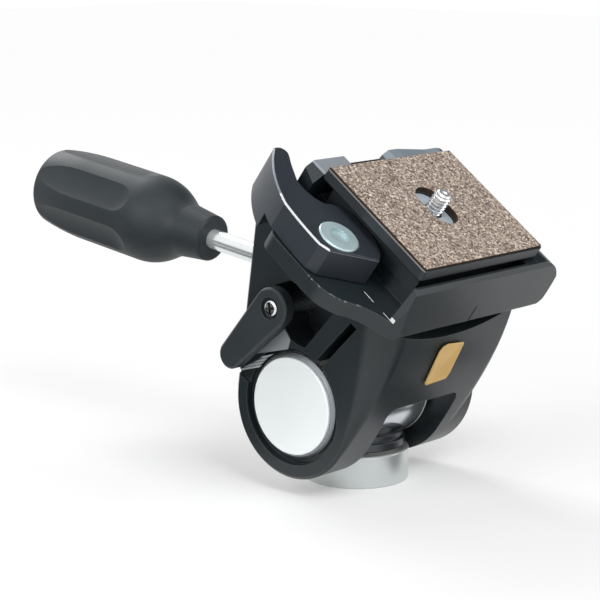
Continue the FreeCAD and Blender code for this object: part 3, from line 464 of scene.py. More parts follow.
@dataclass(frozen=True)
class Metal:
    """Bare or plated metal, with a fine brushing along one direction."""

    name: str
    colour: Triple
    rough: float
    stretch: Triple = (1.0, 1.0, 1.0)
    grain: float = 1500.0
    grain_share: float = 0.6
    cloud_scale: float = 60.0
    spread: float = 0.06
    depth: float = 0.00001
    strength: float = 0.4
    edge: float = 0.0003
    stain: float = 0.90
    metallic: float = 1.0

    def build(self) -> Material:
        """Make the finish.

        Returns:
            Its material.
        """
        board = Board(self.name)
        grain = board.noise(self.grain, place=board.place(self.stretch))
        cloud = board.noise(self.cloud_scale)
        blend = grain * self.grain_share + cloud * (1.0 - self.grain_share)
        board.set(Base_Color=board.mix(cloud, scaled(self.colour, self.stain), self.colour),
                  Roughness=board.span(blend, (self.rough - self.spread, self.rough + self.spread)),
                  Metallic=self.metallic)
        board.bump(grain, self.depth, self.strength, self.edge)
        return board.material


@dataclass(frozen=True)
class DrumChrome:
    """Polished chrome with a pale, rougher, less metallic rim at its right end, a painted highlight,
    and a darker left end, painted shade; millimetres.
    """

    name: str = "drum_chrome"
    colour: Triple = (0.80, 0.83, 0.88)
    rim_highlight_colour: Triple = (0.86, 0.87, 0.88)
    end_shade_colour: Triple = (0.30, 0.32, 0.34)
    stain: float = 0.93
    metallic: float = 0.95
    rim_metallic: float = 0.20
    rough: float = 0.20
    cloud_rough: float = 0.03
    rim_rough: float = 0.35
    end_rough: float = 0.20
    rim_from: float = 16.7
    rim_faces: float = 0.95
    end_to: float = -33.75
    cloud_scale: float = 70.0
    grain: float = 1500.0
    depth: float = 0.000006
    strength: float = 0.3
    edge: float = 0.0002

    def build(self) -> Material:
        """Make the finish.

        Returns:
            Its material.
        """
        board = Board(self.name)
        place = board.place()
        cloud = board.noise(self.cloud_scale, place=place)
        right = board.dot(place, RIGHT)
        # The right rim is a painted highlight, paler, rougher and less metallic; the left end is
        # painted shade, darker and rougher.
        rim = right.over(self.rim_from * MM) * board.facing(RIGHT).under(self.rim_faces)
        end = right.under(self.end_to * MM)
        plain = board.mix(cloud, scaled(self.colour, self.stain), self.colour)
        base = board.mix(end, plain, self.end_shade_colour)
        rough = self.rough + cloud * self.cloud_rough + rim * self.rim_rough + end * self.end_rough
        board.set(Base_Color=board.mix(rim, base, self.rim_highlight_colour), Roughness=rough,
                  Metallic=self.metallic - rim * (self.metallic - self.rim_metallic))
        board.bump(board.noise(self.grain, place=place), self.depth, self.strength, self.edge)
        return board.material


@dataclass(frozen=True)
class CrossChrome:
    """Chrome on the wing lever's screw, with painted shade down in the cross; millimetres."""

    name: str = "cross_chrome"
    colour: Triple = (0.80, 0.82, 0.84)
    recess_shade_colour: Triple = (0.012, 0.012, 0.013)
    reach: float = 2.05
    deep_from: float = -41.35
    rough: Pair = (0.16, 0.28)
    cloud_scale: float = 300.0
    depth: float = 0.00001
    strength: float = 0.3

    def build(self) -> Material:
        """Make the finish.

        Returns:
            Its material.
        """
        board = Board(self.name)
        place = board.place()
        right, back, up = board.on_head(place)
        back, up = (wire - middle * MM for wire, middle in zip((back, up), WING_AXIS))
        inside = (back * back + up * up).under((self.reach * MM) ** 2)
        # Painted shade down in the cross: dark and not metallic.
        deep = inside * right.over(self.deep_from * MM)
        cloud = board.noise(self.cloud_scale, place=place)
        board.set(Base_Color=board.mix(deep, self.colour, self.recess_shade_colour), Metallic=1.0 - deep,
                  Roughness=board.span(cloud, self.rough))
        board.bump(cloud, self.depth, self.strength)
        return board.material


@dataclass(frozen=True)
class Moulded:
    """Moulded rubber or plastic, with a soft bloom and a fine grain."""

    name: str
    colour: Triple
    bloom: Triple
    rough: Pair
    cloud: Pair = (70.0, 3.0)
    grain: float = 1400.0
    depth: float = 0.00003
    strength: float = 0.5
    edge: float = 0.0003
    ior: float = 1.5
    sheen_level: float = 0.5

    def build(self) -> Material:
        """Make the finish.

        Returns:
            Its material.
        """
        board = Board(self.name)
        cloud = board.noise(*self.cloud)
        board.set(Base_Color=board.mix(cloud, self.colour, self.bloom), IOR=self.ior,
                  Roughness=board.span(cloud, self.rough), Specular_IOR_Level=self.sheen_level)
        board.bump(board.noise(self.grain), self.depth, self.strength, self.edge)
        return board.material


@dataclass(frozen=True)
class Cork:
    """Pressed cork: granules of several tans, with dark flecks and painted shade on its cut side faces.
    """

    name: str = "cork"
    cell: float = 1650.0
    tans: tuple = ((0.0, (0.030, 0.022, 0.018)), (0.18, (0.130, 0.098, 0.080)),
                   (0.45, (0.27, 0.212, 0.170)), (0.75, (0.42, 0.345, 0.280)),
                   (1.0, (0.78, 0.69, 0.57)))
    rosy: Triple = (0.31, 0.235, 0.215)
    rosy_share: float = 0.35
    fleck: Triple = (0.055, 0.036, 0.026)
    fleck_scale: float = 1500.0
    fleck_level: float = 0.66
    fleck_share: float = 0.6
    side_shade: Triple = (0.035, 0.019, 0.011)
    side_faces: float = 0.5
    rough: float = 0.88
    sheen_level: float = 0.3
    depth: float = 0.00020
    strength: float = 0.5
    edge: float = 0.0002

    def build(self) -> Material:
        """Make the finish.

        Returns:
            Its material.
        """
        board = Board(self.name)
        place = board.place()
        cells = board.node("ShaderNodeTexVoronoi", {"feature": "F1"},
                           {"Vector": place, "Scale": self.cell})
        parts = board.node("ShaderNodeSeparateColor", None, {0: board.wire(cells, "Color")})
        pick, hue = board.wire(parts, 0), board.wire(parts, 1)
        tints = board.span(hue, (0.0, self.rosy_share))
        grains = board.mix(tints, board.ramp(pick, self.tans), self.rosy)
        flecks = board.noise(self.fleck_scale, place=place).over(self.fleck_level)
        specked = board.mix(flecks * self.fleck_share, grains, self.fleck)
        # Painted shade: the side faces are darker.
        side = board.facing(HEAD_UP).under(self.side_faces)
        board.set(Base_Color=board.mix(side, specked, self.side_shade), Roughness=self.rough,
                  Specular_IOR_Level=self.sheen_level)
        board.bump(board.wire(cells, "Distance"), self.depth, self.strength, self.edge)
        return board.material


BLACK_PAINT = BlackPaint("black_paint", (0.020, 0.026, 0.029), (0.031, 0.038, 0.042))
CASTING_PAINT = BlackPaint("casting_paint", (0.007, 0.0115, 0.0135), (0.013, 0.0195, 0.0225), coat=0.35)
# Painted highlight: thin bright lines on the left edge of the platform's floor step.
PLATFORM_EDGE_HIGHLIGHT = PaleStrip((0.62, 0.62, 0.62), 55.9, across=(-37.95, -37.55), back=(-16.8, -11.0))
# Painted highlight along the release lever's outer left edge; dimmer and bluer towards the back.
LEVER_EDGE_HIGHLIGHT = PaleStrip((0.62, 0.64, 0.66), 66.45, (-2.0, 0.95), (-2.0, -0.35), back=(-60.0, 37.6))
PLATFORM_PAINT = replace(
    CASTING_PAINT, name="platform_paint",
    highlight_strips=(PLATFORM_EDGE_HIGHLIGHT, replace(PLATFORM_EDGE_HIGHLIGHT, back=(-6.0, -1.0)),
            # Painted highlights on the upward faces at the platform's back, paler on the left.
            PaleStrip((0.26, 0.28, 0.31), 71.2, UPWARD, across=(-40.0, 0.0), back=(38.6, 60.0)),
            PaleStrip((0.22, 0.26, 0.30), 69.3, UPWARD, across=(0.0, 60.0), back=(38.6, 60.0))),
    chips=(PaleStrip((0.40, 0.41, 0.41), 54.8, across=(-56.0, -38.0), back=(-8.0, 11.0)),))
# The release lever's paint carries the painted edge highlight.
LEVER_PAINT = BlackPaint(
    "lever_paint", (0.017, 0.022, 0.029), (0.028, 0.035, 0.044),
    highlight_strips=(LEVER_EDGE_HIGHLIGHT, replace(LEVER_EDGE_HIGHLIGHT, colour=(0.16, 0.19, 0.22), back=(37.6, 90.0))))
# Painted highlight on the top of the quick plate's left rim.
PLATE_PAINT = BlackPaint(
    "plate_paint", (0.014, 0.018, 0.021), (0.026, 0.032, 0.036), rough=(0.30, 0.42),
    highlight_strips=(PaleStrip((0.20, 0.20, 0.20), 74.95, across=(-60.0, -32.2)),))

FINISHES = (
    BLACK_PAINT, CASTING_PAINT, PLATFORM_PAINT, LEVER_PAINT, PLATE_PAINT,
    Metal("silver_satin", (0.66, 0.70, 0.695), 0.32, (1.0, 1.0, 8.0), metallic=0.8),
    Metal("disc_silver", (0.90, 0.945, 0.95), 0.42, (6.0, 1.0, 1.0), metallic=0.30, stain=0.97),
    # The pan foot's steel is darkened as painted shade, for the shadow it lies in under the housing.
    Metal("shaded_foot_steel", (0.085, 0.092, 0.10), 0.34),
    Metal("chrome", (0.84, 0.88, 0.88), 0.20, spread=0.02, metallic=0.7),
    DrumChrome(),
    Metal("steel", (0.56, 0.58, 0.58), 0.26),
    Metal("stud_chrome", (0.82, 0.84, 0.86), 0.22, spread=0.02, depth=0.000002, edge=0.0, metallic=0.7),
    CrossChrome(),
    Metal("window_metal", (0.56, 0.64, 0.71), 0.48, (1.0, 7.0, 7.0), metallic=0.35),
    # Pale grey of a machined land, partly painted light: the cheek facet that catches the light.
    Metal("machined", (0.31, 0.33, 0.35), 0.40, (8.0, 1.0, 1.0), stain=0.75, metallic=0.3),
    Metal("bright_land", (0.62, 0.65, 0.67), 0.42, (8.0, 1.0, 1.0), stain=0.7, metallic=0.4),
    Metal("zinc", (0.58, 0.74, 0.77), 0.34, grain=700.0, spread=0.14, depth=0.00006, stain=0.6,
          metallic=0.35),
    Metal("brass", (0.78, 0.60, 0.28), 0.34),
    Metal("badge_brass", (0.78, 0.50, 0.17), 0.38, (1.0, 9.0, 9.0), depth=0.00003, stain=0.72,
          metallic=0.25),
    Moulded("grip_rubber", (0.016, 0.021, 0.024), (0.027, 0.034, 0.038), (0.44, 0.58),
            cloud=(45.0, 4.0), grain=2200.0, depth=0.00005, strength=0.6, edge=0.0004, ior=1.48,
            sheen_level=0.28),
    Moulded("black_plastic", (0.0255, 0.0272, 0.02975), (0.030, 0.032, 0.035), (0.40, 0.50)),
    Moulded("nylon", (0.527, 0.5185, 0.4845), (0.62, 0.61, 0.57), (0.40, 0.50)),
    Cork(),
)

FINISH_NODES = {
    "silver_satin": "base",
    "brass": "tripod_bush brake_shoe",
    "steel": "pan_bolt pan_spring_washers pan_nut clamp_nut cam_shaft platform_screws lever_spring "
             "camera_screw screw_clip",
    "nylon": "pan_washer drum_liner journal_bush",
    "shaded_foot_steel": "pan_foot",
    "drum_chrome": "tilt_drum",
    "disc_silver": "drum_end_disc",
    "casting_paint": "housing",
    "platform_paint": "clamp_platform",
    "black_paint": "wing_lever",
    "lever_paint": "release_lever",
    "plate_paint": "quick_plate",
    "chrome": "handle_rod",
    "cross_chrome": "wing_screw",
    "zinc": "lever_pivot_screw",
    "black_plastic": "handle_collar grip_end_cap",
    "grip_rubber": "handle_grip",
    "cork": "cork_pad",
}


class Wardrobe:
    """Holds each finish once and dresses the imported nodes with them."""

    def __init__(self) -> None:
        """Build every finish."""
        self.materials = {finish.name: finish.build() for finish in FINISHES}

    def dress(self, obj: Object, finish: str) -> None:
        """Give an object one finish all over.

        Args:
            obj: the object.
            finish: the finish's name.
        """
        if not obj.material_slots:
            obj.data.materials.append(self.materials[finish])
        for slot in obj.material_slots:
            slot.material = self.materials[finish]

    def dress_nodes(self) -> None:
        """Dress every node of the frame."""
        finishes = {node: finish for finish, nodes in FINISH_NODES.items() for node in nodes.split()}
        for name, obj in frame["nodes"].items():
            self.dress(obj, finishes[name])
        LOG.info("dressed %d nodes", len(frame["nodes"]))


# ---------------- bench
class Bench:
    """Shapes one mesh at a time with Blender's own operators; its sizes are in metres."""

    def __init__(self, wardrobe: Wardrobe) -> None:
        """Keep the finishes at hand."""
        self.wardrobe = wardrobe

    def clear(self) -> None:
        """Leave edit mode and drop every selection."""
        if bpy.context.object and bpy.context.object.mode != "OBJECT":
            bpy.ops.object.mode_set(mode="OBJECT")
        bpy.ops.object.select_all(action="DESELECT")

    def take(self, obj: Object) -> None:
        """Select one object alone and make it the active one.

        Args:
            obj: the object.
        """
        self.clear()
        obj.select_set(True)
        bpy.context.view_layer.objects.active = obj

    def edit(self, obj: Object) -> None:
        """Enter edit mode on one object with all of it selected.

        Args:
            obj: the object.
        """
        self.take(obj)
        bpy.ops.object.mode_set(mode="EDIT")
        bpy.ops.mesh.select_all(action="SELECT")

    def edit_top(self, obj: Object) -> None:
        """Enter edit mode on one object with only its upward faces selected.

        Args:
            obj: the object.
        """
        picked = [face.index for face in obj.data.polygons if face.normal.z > TOP_FACES]
        self.edit(obj)
        bpy.ops.mesh.select_mode(type="FACE")
        bpy.ops.mesh.select_all(action="DESELECT")
        bpy.ops.object.mode_set(mode="OBJECT")
        for index in picked:
            obj.data.polygons[index].select = True
        bpy.ops.object.mode_set(mode="EDIT")

    def close(self) -> None:
        """Turn the edited mesh's faces outwards and leave edit mode."""
        bpy.ops.mesh.select_all(action="SELECT")
        bpy.ops.mesh.normals_make_consistent(inside=False)
        bpy.ops.object.mode_set(mode="OBJECT")

    def ring(self, name: str, corners: int, fill: str, radius: float = 1.0,
             height: float = 0.0) -> Object:
        """Add the ring of corners that a shape starts from.

        Args:
            name: the piece's name.
            corners: number of corners.
            fill: NGON for a face, NOTHING for a bare loop.
            radius: the ring's radius.
            height: its height.

        Returns:
            The new object.
        """
        self.clear()
        bpy.ops.mesh.primitive_circle_add(vertices=corners, radius=radius, fill_type=fill,
                                          location=(0.0, 0.0, height))
        obj = bpy.context.object
        obj.name = name
        return obj

    def raise_by(self, height: float) -> None:
        """Extrude what is selected along Z."""
        bpy.ops.mesh.extrude_region_move(TRANSFORM_OT_translate={"value": (0.0, 0.0, height)})

    def turned(self, name: str, steps: list[Pair]) -> Object:
        """Turn a solid about Z.

        Args:
            name: the piece's name.
            steps: (radius, height) pairs in millimetres, from the bottom up.

        Returns:
            The new object.
        """
        steps = [(radius * MM, height * MM) for radius, height in steps]
        obj = self.ring(name, TURNED_SIDES, "NGON", *steps[0])
        self.edit(obj)
        for (r0, z0), (r1, z1) in zip(steps, steps[1:]):
            self.raise_by(z1 - z0)
            bpy.ops.transform.resize(value=(r1 / r0, r1 / r0, 1.0), center_override=(0.0, 0.0, z1))
        self.close()
        return obj

    def outline(self, name: str, points: list[Pair], height: float) -> Object:
        """Raise a flat outline into a plate along Z.

        Args:
            name: the piece's name.
            points: the outline's (x, y) corners in millimetres.
            height: the plate's thickness in millimetres.

        Returns:
            The new object.
        """
        obj = self.ring(name, len(points), "NGON")
        for vertex, (x, y) in zip(obj.data.vertices, points):
            vertex.co = (x * MM, y * MM, 0.0)
        self.edit(obj)
        self.raise_by(height * MM)
        self.close()
        return obj

    def coil(self, name: str, corners: list[Pair], pitch: float, turns: int) -> Object:
        """Sweep a small closed section along a helix about Z.

        Args:
            name: the piece's name.
            corners: the section's (radius, height) corners in millimetres.
            pitch: rise in one turn, in millimetres.
            turns: number of turns.

        Returns:
            The new object.
        """
        obj = self.ring(name, len(corners), "NOTHING")
        for vertex, (radius, height) in zip(obj.data.vertices, corners):
            vertex.co = (radius * MM, 0.0, height * MM)
        screw = obj.modifiers.new("sweep", "SCREW")
        screw.axis = "Z"
        screw.angle = 2.0 * math.pi
        screw.screw_offset = pitch * MM
        screw.iterations = turns
        screw.steps = screw.render_steps = ROUND_SIDES
        screw.use_merge_vertices = True
        screw.merge_threshold = WELD
        self.apply(obj, screw)
        self.edit(obj)
        bpy.ops.mesh.fill_holes(sides=len(corners))
        self.close()
        return obj

    def apply(self, obj: Object, modifier: Modifier) -> None:
        """Apply one modifier to its object."""
        self.take(obj)
        bpy.ops.object.modifier_apply(modifier=modifier.name)

    def bevel(self, obj: Object, width: float) -> None:
        """Round the sharp edges of an object with an applied Bevel modifier.

        Args:
            obj: the object.
            width: the bevel's width in millimetres.
        """
        bevel = obj.modifiers.new("soften", "BEVEL")
        bevel.width = width * MM
        bevel.segments = 2
        bevel.limit_method = "ANGLE"
        self.apply(obj, bevel)

    def cut(self, obj: Object, tool: Object) -> None:
        """Take one shape out of another, and drop the tool.

        Args:
            obj: the object that is cut.
            tool: the shape that is taken out.
        """
        cut = obj.modifiers.new("cut", "BOOLEAN")
        cut.operation = "DIFFERENCE"
        cut.object = tool
        self.apply(obj, cut)
        bpy.data.objects.remove(tool, do_unlink=True)

    def cut_block(self, obj: Object, size: Triple, height: float, turn: float = 0.0) -> None:
        """Cut a block out of an object on its Z axis.

        Args:
            obj: the object that is cut.
            size: the block's size in millimetres.
            height: the height of its middle, in millimetres.
            turn: its turn about Z, in radians.
        """
        self.clear()
        bpy.ops.mesh.primitive_cube_add(size=1.0, location=(0.0, 0.0, height * MM),
                                        rotation=(0.0, 0.0, turn))
        tool = bpy.context.object
        tool.scale = scaled(size, MM)
        self.cut(obj, tool)

    def cut_hole(self, obj: Object, radius: float, length: float) -> None:
        """Cut a round hole about Z.

        Args:
            obj: the object that is cut.
            radius: the hole's radius in millimetres.
            length: the cutter's length in millimetres.
        """
        self.clear()
        bpy.ops.mesh.primitive_cylinder_add(vertices=ROUND_SIDES, radius=radius * MM, depth=length * MM)
        self.cut(obj, bpy.context.object)

    def finish(self, obj: Object, place: Matrix, body: Body, slot: Slot, finish: str,
               replaces: str = "") -> None:
        """Put a shaped piece in its place, dress it and let it ride.

        Args:
            obj: the piece, shaped about its own origin.
            place: where it goes in the frame at rest.
            body: the body that it moves with.
            slot: not used.
            finish: the name of its finish.
            replaces: the CAD node that it stands for, if it does.
        """
        self.take(obj)
        obj.matrix_world = place @ obj.matrix_world
        bpy.ops.object.transform_apply(location=True, rotation=True, scale=True)
        bpy.ops.object.shade_smooth_by_angle(angle=SMOOTH_ANGLE)
        self.wardrobe.dress(obj, finish)
        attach(obj, body.value)
        if replaces:
            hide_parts(replaces)
        LOG.info("made %s on %s", obj.name, body.value)


# ---------------- pieces, in millimetres
@dataclass
class Badge:
    """The bare brass plate on the housing's front face, slanted like the casting."""

    points: tuple = ((-5.4, 5.6), (-4.0, 7.4), (-1.6, 8.0), (7.3, 7.2), (7.7, 6.4), (5.6, -4.8),
                     (4.3, -7.0), (-6.4, -7.6), (-7.4, -6.8))
    thick: float = 0.45
    border: float = 0.8
    slope: float = 0.2
    sunk: float = 0.15
    soft: float = 0.08
    middle: Triple = (0.75, -21.6, 34.3)
    stand: float = math.radians(75.7)

    def build(self, bench: Bench) -> None:
        """Make the plate, with a raised border and a sunk field.

        Args:
            bench: the bench that it is shaped on.
        """
        plate = bench.outline("badge_plate", self.points, self.thick)
        bench.edit_top(plate)
        bpy.ops.mesh.inset(thickness=self.border * MM, depth=0.0)
        bpy.ops.mesh.inset(thickness=self.slope * MM, depth=-self.sunk * MM)
        bpy.ops.object.mode_set(mode="OBJECT")
        bench.bevel(plate, self.soft)
        leaning = Matrix.Translation(Vector(self.middle) * MM) @ Matrix.Rotation(self.stand, 4, "X")
        bench.finish(plate, head_matrix() @ leaning, Body.HEAD, Slot.BRASS, "badge_brass")


@dataclass
class RingLands:
    """The machined lands beside the left end of the drum, where the ring is cut."""

    face: float = 35.4
    shelf_depth: float = 1.6
    rise: float = 1.0
    sunk: float = 0.05
    ridges: int = 4
    first: float = 15.1
    pitch: float = 0.95
    width: float = 0.74
    radii: Pair = (19.1, 25.2)
    turn: float = math.radians(37.7)
    facet: tuple = ((22.6, 3.4), (18.1, 19.9), (13.9, 18.5), (12.8, 15.2))
    facet_depth: float = 0.1
    facet_rise: float = 0.12

    def strip(self, start: float, end: float) -> list[Pair]:
        """Outline one ridge between the two radii.

        Args:
            start: how far its near side is from the axis.
            end: how far its far side is.

        Returns:
            The outline's (y, z) corners.
        """
        inner, outer = self.radii
        corners = []
        for across, radius in ((start, outer), (start, inner), (end, inner), (end, outer)):
            along = -math.sqrt(radius ** 2 - across ** 2)
            corners.append((across * math.cos(self.turn) - along * math.sin(self.turn),
                            across * math.sin(self.turn) + along * math.cos(self.turn)))
        return corners

    def plate(self, bench: Bench, name: str, points: tuple, reach: Pair, finish: str) -> None:
        """Make a plate that stands out to the left.

        Args:
            bench: the bench that it is shaped on.
            name: the piece's name.
            points: the outline's (y, z) corners.
            reach: the distances of its two faces from the head's middle.
            finish: the name of its finish.
        """
        low, high = reach
        obj = bench.outline(name, points, high - low)
        bench.finish(obj, head_matrix() @ outwards(-low), Body.HEAD, Slot.BLACK_CAST, finish)

    def build(self, bench: Bench) -> None:
        """Make the stepped ridges and the facet.

        Args:
            bench: the bench that they are shaped on.
        """
        floor = self.face - self.shelf_depth
        for i in range(self.ridges):
            start = self.first + i * self.pitch
            self.plate(bench, f"ring_ridge_{i + 1}", self.strip(start, start + self.width),
                       (floor - self.sunk, floor + self.rise), "bright_land")
        # The facet: a machined land whose pale grey is partly a painted highlight for the light it
        # catches.
        self.plate(bench, "cheek_facet", self.facet,
                   (self.face - self.facet_depth, self.face + self.facet_rise), "machined")


@dataclass
class WingScrew:
    """The cross-head screw in the wing lever's recess."""

    seat_x: float = -40.0
    head_r: float = 2.9
    head_h: float = 1.5
    shank_r: float = 1.5
    shank_l: float = 8.8
    crown: tuple = ((0.0, 0.7), (0.15, 0.4), (0.6, 0.1), (1.2, 0.0))
    flat_r: float = 0.4
    arm: Triple = (4.10, 0.92, 2.0)

    def build(self, bench: Bench) -> None:
        """Turn the screw and cut its cross.

        Args:
            bench: the bench that it is shaped on.
        """
        steps = [(self.shank_r, -self.shank_l), (self.shank_r, -STEP), (self.head_r, 0.0)]
        steps += [(self.head_r - inwards, self.head_h - below) for inwards, below in self.crown]
        screw = bench.turned("wing_screw_head", steps + [(self.flat_r, self.head_h)])
        for quarter in (1, 3):
            bench.cut_block(screw, self.arm, self.head_h, math.radians(45.0 * quarter))
        bench.finish(screw, head_matrix() @ outwards(self.seat_x, *WING_AXIS), Body.WING, Slot.CHROME,
                     "cross_chrome", "wing_screw")


@dataclass
class CameraStud:
    """The threaded camera screw with its coin-slotted head."""

    head: Triple = (8.0, 62.3, 65.3)
    rim_cuts: Pair = (0.4, 0.3)
    neck: Pair = (4.075, 70.6)
    relief: Pair = (2.9, 73.9)
    lead: float = 0.25
    major: float = 3.175
    minor: float = 2.50
    top: float = 81.6
    tip_cut: float = 0.5
    centre: tuple = ((0.9, 0.0), (0.75, 0.35), (0.05, 0.45))
    pitch: float = 1.27
    ridge_shares: Pair = (0.667, 0.34)
    run_out: float = 0.35
    sunk: float = 0.03
    slot: Triple = (20.0, 1.6, 1.4)
    slot_past: float = 1.0

    def core_steps(self) -> list[Pair]:
        """The core's outline.

        Returns:
            Its (radius, height) steps, from the head up.
        """
        (head_r, bottom, shoulder), (low_cut, high_cut) = self.head, self.rim_cuts
        (neck_r, neck_z), (relief_r, relief_z) = self.neck, self.relief
        steps = [(head_r - low_cut, bottom), (head_r, bottom + low_cut), (head_r, shoulder - high_cut),
                 (head_r - high_cut, shoulder), (neck_r, shoulder + STEP), (neck_r, neck_z),
                 (relief_r, neck_z + STEP), (relief_r, relief_z), (self.minor, relief_z + self.lead),
                 (self.minor, self.top - self.tip_cut), (self.minor - self.tip_cut, self.top)]
        return steps + [(radius, self.top - below) for radius, below in self.centre]

    def thread_corners(self) -> list[Pair]:
        """The thread's three-cornered ridge.

        Returns:
            Its section's (radius, height) corners.
        """
        depth = self.major - self.minor
        radius, height = self.minor + depth / 3.0 - self.sunk, self.relief[1] + self.run_out
        wide, tall = depth * self.ridge_shares[0], self.pitch * self.ridge_shares[1]
        angles = [2.0 * math.pi * i / 3 for i in range(3)]
        return [(radius + wide * math.cos(angle), height + tall * math.sin(angle)) for angle in angles]

    def build(self, bench: Bench) -> None:
        """Make the core with its coin slot, and the thread's ridge.

        Args:
            bench: the bench that they are shaped on.
        """
        place = head_matrix() @ Matrix.Translation((0.0, STUD_BACK * MM, 0.0))
        core = bench.turned("stud_core", self.core_steps())
        length, width, depth = self.slot
        bench.cut_block(core, (length, width, depth + self.slot_past),
                        self.head[1] + (depth - self.slot_past) / 2.0)
        bench.finish(core, place, Body.STUD, Slot.STEEL, "stud_chrome", "camera_screw")
        turns = int((self.top - 2.0 * self.run_out - self.relief[1]) / self.pitch)
        ridge = bench.coil("stud_thread", self.thread_corners(), self.pitch, turns)
        bench.finish(ridge, place, Body.STUD, Slot.STEEL, "stud_chrome")


@dataclass
class LeverSpring:
    """The release lever's torsion spring, wound from round wire."""

    seat: float = 56.0
    coil_r: float = 6.4
    wire_r: float = 0.56
    corners: int = 10
    play: float = 0.03
    turns: int = 2

    def build(self, bench: Bench) -> None:
        """Wind the spring on the platform's floor.

        Args:
            bench: the bench that it is shaped on.
        """
        wire = []
        for i in range(self.corners):
            angle = 2.0 * math.pi * i / self.corners
            wire.append((self.coil_r + self.wire_r * math.cos(angle),
                         self.seat + self.wire_r * (1.0 + math.sin(angle))))
        coil = bench.coil("spring_coil", wire, 2.0 * self.wire_r + self.play, self.turns)
        place = head_matrix() @ Matrix.Translation((LEVER_PIVOT[0] * MM, LEVER_PIVOT[1] * MM, 0.0))
        bench.finish(coil, place, Body.HEAD, Slot.STEEL, "steel", "lever_spring")


@dataclass
class WindowStrip:
    """The bare metal strip in the cork pad's window."""

    width: float = 11.0
    length: float = 18.0
    low: float = 73.02
    thick: float = 0.28
    hole_r: float = 3.5
    drill: float = 4.0
    sides: int = 16

    def build(self, bench: Bench) -> None:
        """Make the round-ended strip with the screw's hole in it.

        Args:
            bench: the bench that it is shaped on.
        """
        half = (self.length - self.width) / 2.0
        radius = self.width / 2.0
        points = []
        for side in (1.0, -1.0):
            for i in range(self.sides + 1):
                angle = math.pi * i / self.sides
                points.append((side * radius * math.cos(angle),
                               side * (half + radius * math.sin(angle))))
        strip = bench.outline("window_strip", points, self.thick)
        bench.cut_hole(strip, self.hole_r, self.drill)
        place = head_matrix() @ Matrix.Translation((0.0, STUD_BACK * MM, self.low * MM))
        bench.finish(strip, place, Body.PLATE, Slot.STEEL, "window_metal")


# ---------------- stage, in metres
@dataclass(frozen=True)
class Lamp:
    """A square soft lamp."""

    name: str
    place: Triple
    size: float
    watts: float


@dataclass(frozen=True)
class Card:
    """A black card that only reflections see, lying on the floor or standing up: a painted dark
    reflection, the lying ones standing for the floor's shade around the head.
    """

    name: str
    place: Triple
    size: Pair
    lies: bool = True


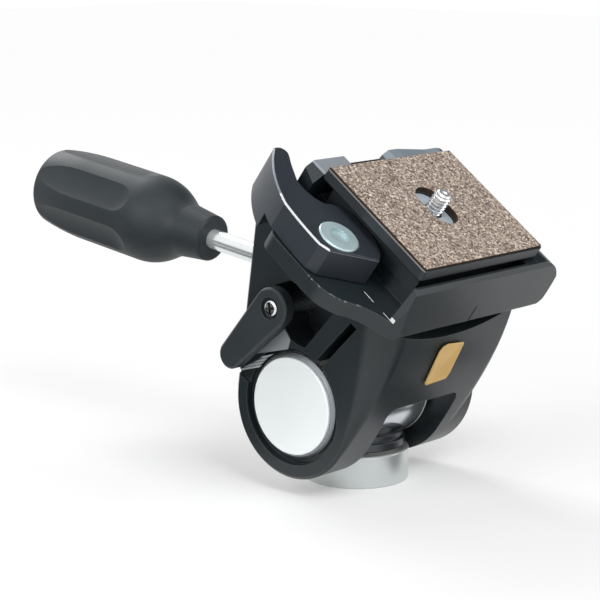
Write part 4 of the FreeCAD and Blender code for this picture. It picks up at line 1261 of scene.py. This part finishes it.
@dataclass
class Stage:
    """Floor, world, cards, lamps and camera."""

    camera_place: Triple = (-0.5353, -0.4432, 0.1958)
    camera_turn: Triple = (79.294, 0.0, -48.918)
    lens: float = 120.35
    sensor: float = 36.0
    shift: Pair = (-0.0120, -0.0025)
    aim: Triple = (0.0, 0.0, 0.06)
    floor_size: float = 6.0
    floor_colour: Triple = (0.85, 0.85, 0.85)
    floor_rough: float = 0.9
    glow_reach: Pair = (0.06, 0.30)
    glow: Pair = (0.30, 0.97)
    world_light: float = 0.30
    shade_card_colour: Triple = (0.01, 0.01, 0.011)
    # Painted dark reflections: black cards seen only in reflections, those on the floor standing for
    # its shade around the head.
    cards: tuple = (Card("flag_top", (0.36, 0.00, 0.38), (0.50, 0.50), False),
                    Card("flag_near", (0.027, -0.043, 0.0006), (0.038, 0.026)),
                    Card("flag_front", (0.043, -0.095, 0.0006), (0.090, 0.074)),
                    Card("flag_left", (-0.20, 0.16, 0.0006), (0.28, 0.24)),
                    Card("flag_far", (-0.36, 0.30, 0.06), (0.40, 0.24), False))
    lamps: tuple = (Lamp("key", (-0.35, -0.75, 0.95), 0.55, 9.0),
                    Lamp("left", (-1.10, 0.10, 0.60), 0.60, 7.0),
                    Lamp("right", (0.75, -0.85, 0.45), 0.50, 2.0),
                    Lamp("back", (0.30, 0.95, 0.85), 0.60, 7.5))

    def build(self) -> None:
        """Set the whole stage."""
        self.add_floor()
        self.add_world()
        for card in self.cards:
            self.add_card(card)
        for lamp in self.lamps:
            self.add_lamp(lamp)
        self.add_camera()
        bpy.context.scene.view_settings.view_transform = "Standard"

    def turn_to_aim(self, obj: Object, axis: str) -> None:
        """Turn an object so that one of its axes points at the head."""
        aim = Vector(self.aim) - obj.location
        obj.rotation_euler = aim.to_track_quat(axis, "Y").to_euler()

    def stand(self, name: str, data: ID, place: Triple) -> Object:
        """Put a lamp or a camera on the stage.

        Args:
            name: the new object's name.
            data: the lamp or the camera.
            place: where it stands.

        Returns:
            The new object.
        """
        obj = bpy.data.objects.new(name, data)
        obj.location = place
        bpy.context.collection.objects.link(obj)
        return obj

    def add_floor(self) -> None:
        """Add a pale floor that keeps the shadow and is white to the camera further out."""
        bpy.ops.mesh.primitive_plane_add(size=self.floor_size)
        floor = bpy.context.object
        floor.name = "floor"
        board = Board("floor")
        board.set(Base_Color=self.floor_colour, Roughness=self.floor_rough)
        reach = board.node("ShaderNodeVectorMath", {"operation": "LENGTH"}, {0: board.place()})
        (near, far), (low, high) = self.glow_reach, self.glow
        rise = board.node("ShaderNodeMapRange", None,
                          {"Value": board.wire(reach, "Value"), "From Min": near, "From Max": far,
                           "To Min": low, "To Max": high})
        glow = board.node("ShaderNodeEmission", None, {"Color": WHITE, "Strength": 1.0})
        board.show_mixed(board.seen() * board.wire(rise), board.shader, glow)
        floor.data.materials.append(board.material)

    def add_world(self) -> None:
        """Add a white surround for the camera and for reflections, dimmer as a light."""
        world = bpy.data.worlds.new("studio")
        bpy.context.scene.world = world
        board = Board("studio", world)
        lit, white = (board.node("ShaderNodeBackground", None, {"Color": WHITE, "Strength": strength})
                      for strength in (self.world_light, 1.0))
        board.show_mixed(board.seen(), lit, white)

    def add_card(self, card: Card) -> None:
        """Add a black card, a painted dark reflection.

        Args:
            card: its name, place and size.
        """
        bpy.ops.mesh.primitive_plane_add(size=1.0)
        obj = bpy.context.object
        obj.name = card.name
        obj.scale = (*card.size, 1.0)
        obj.location = card.place
        if not card.lies:
            self.turn_to_aim(obj, "Z")
        board = Board(card.name)
        board.set(Base_Color=self.shade_card_colour, Roughness=1.0, Specular_IOR_Level=0.0)
        obj.data.materials.append(board.material)
        obj.visible_camera = obj.visible_diffuse = obj.visible_shadow = obj.visible_transmission = False

    def add_lamp(self, lamp: Lamp) -> None:
        """Add a lamp that looks at the head.

        Args:
            lamp: its name, place, size and power.
        """
        light = bpy.data.lights.new(lamp.name, "AREA")
        light.size = lamp.size
        light.energy = lamp.watts
        self.turn_to_aim(self.stand(lamp.name, light, lamp.place), "-Z")

    def add_camera(self) -> None:
        """Add the camera and make it the scene's."""
        lens = bpy.data.cameras.new("camera")
        lens.lens = self.lens
        lens.sensor_width = self.sensor
        lens.shift_x, lens.shift_y = self.shift
        camera = self.stand("camera", lens, self.camera_place)
        camera.rotation_euler = [math.radians(angle) for angle in self.camera_turn]
        bpy.context.scene.camera = camera


def main() -> None:
    """Build the head and its stage."""
    logging.basicConfig(level=logging.INFO)
    Stage().build()
    wardrobe = Wardrobe()
    wardrobe.dress_nodes()
    bench = Bench(wardrobe)
    for piece in (Badge(), RingLands(), WingScrew(), CameraStud(), LeverSpring(), WindowStrip()):
        piece.build(bench)


if __name__ == "__main__":
    main()
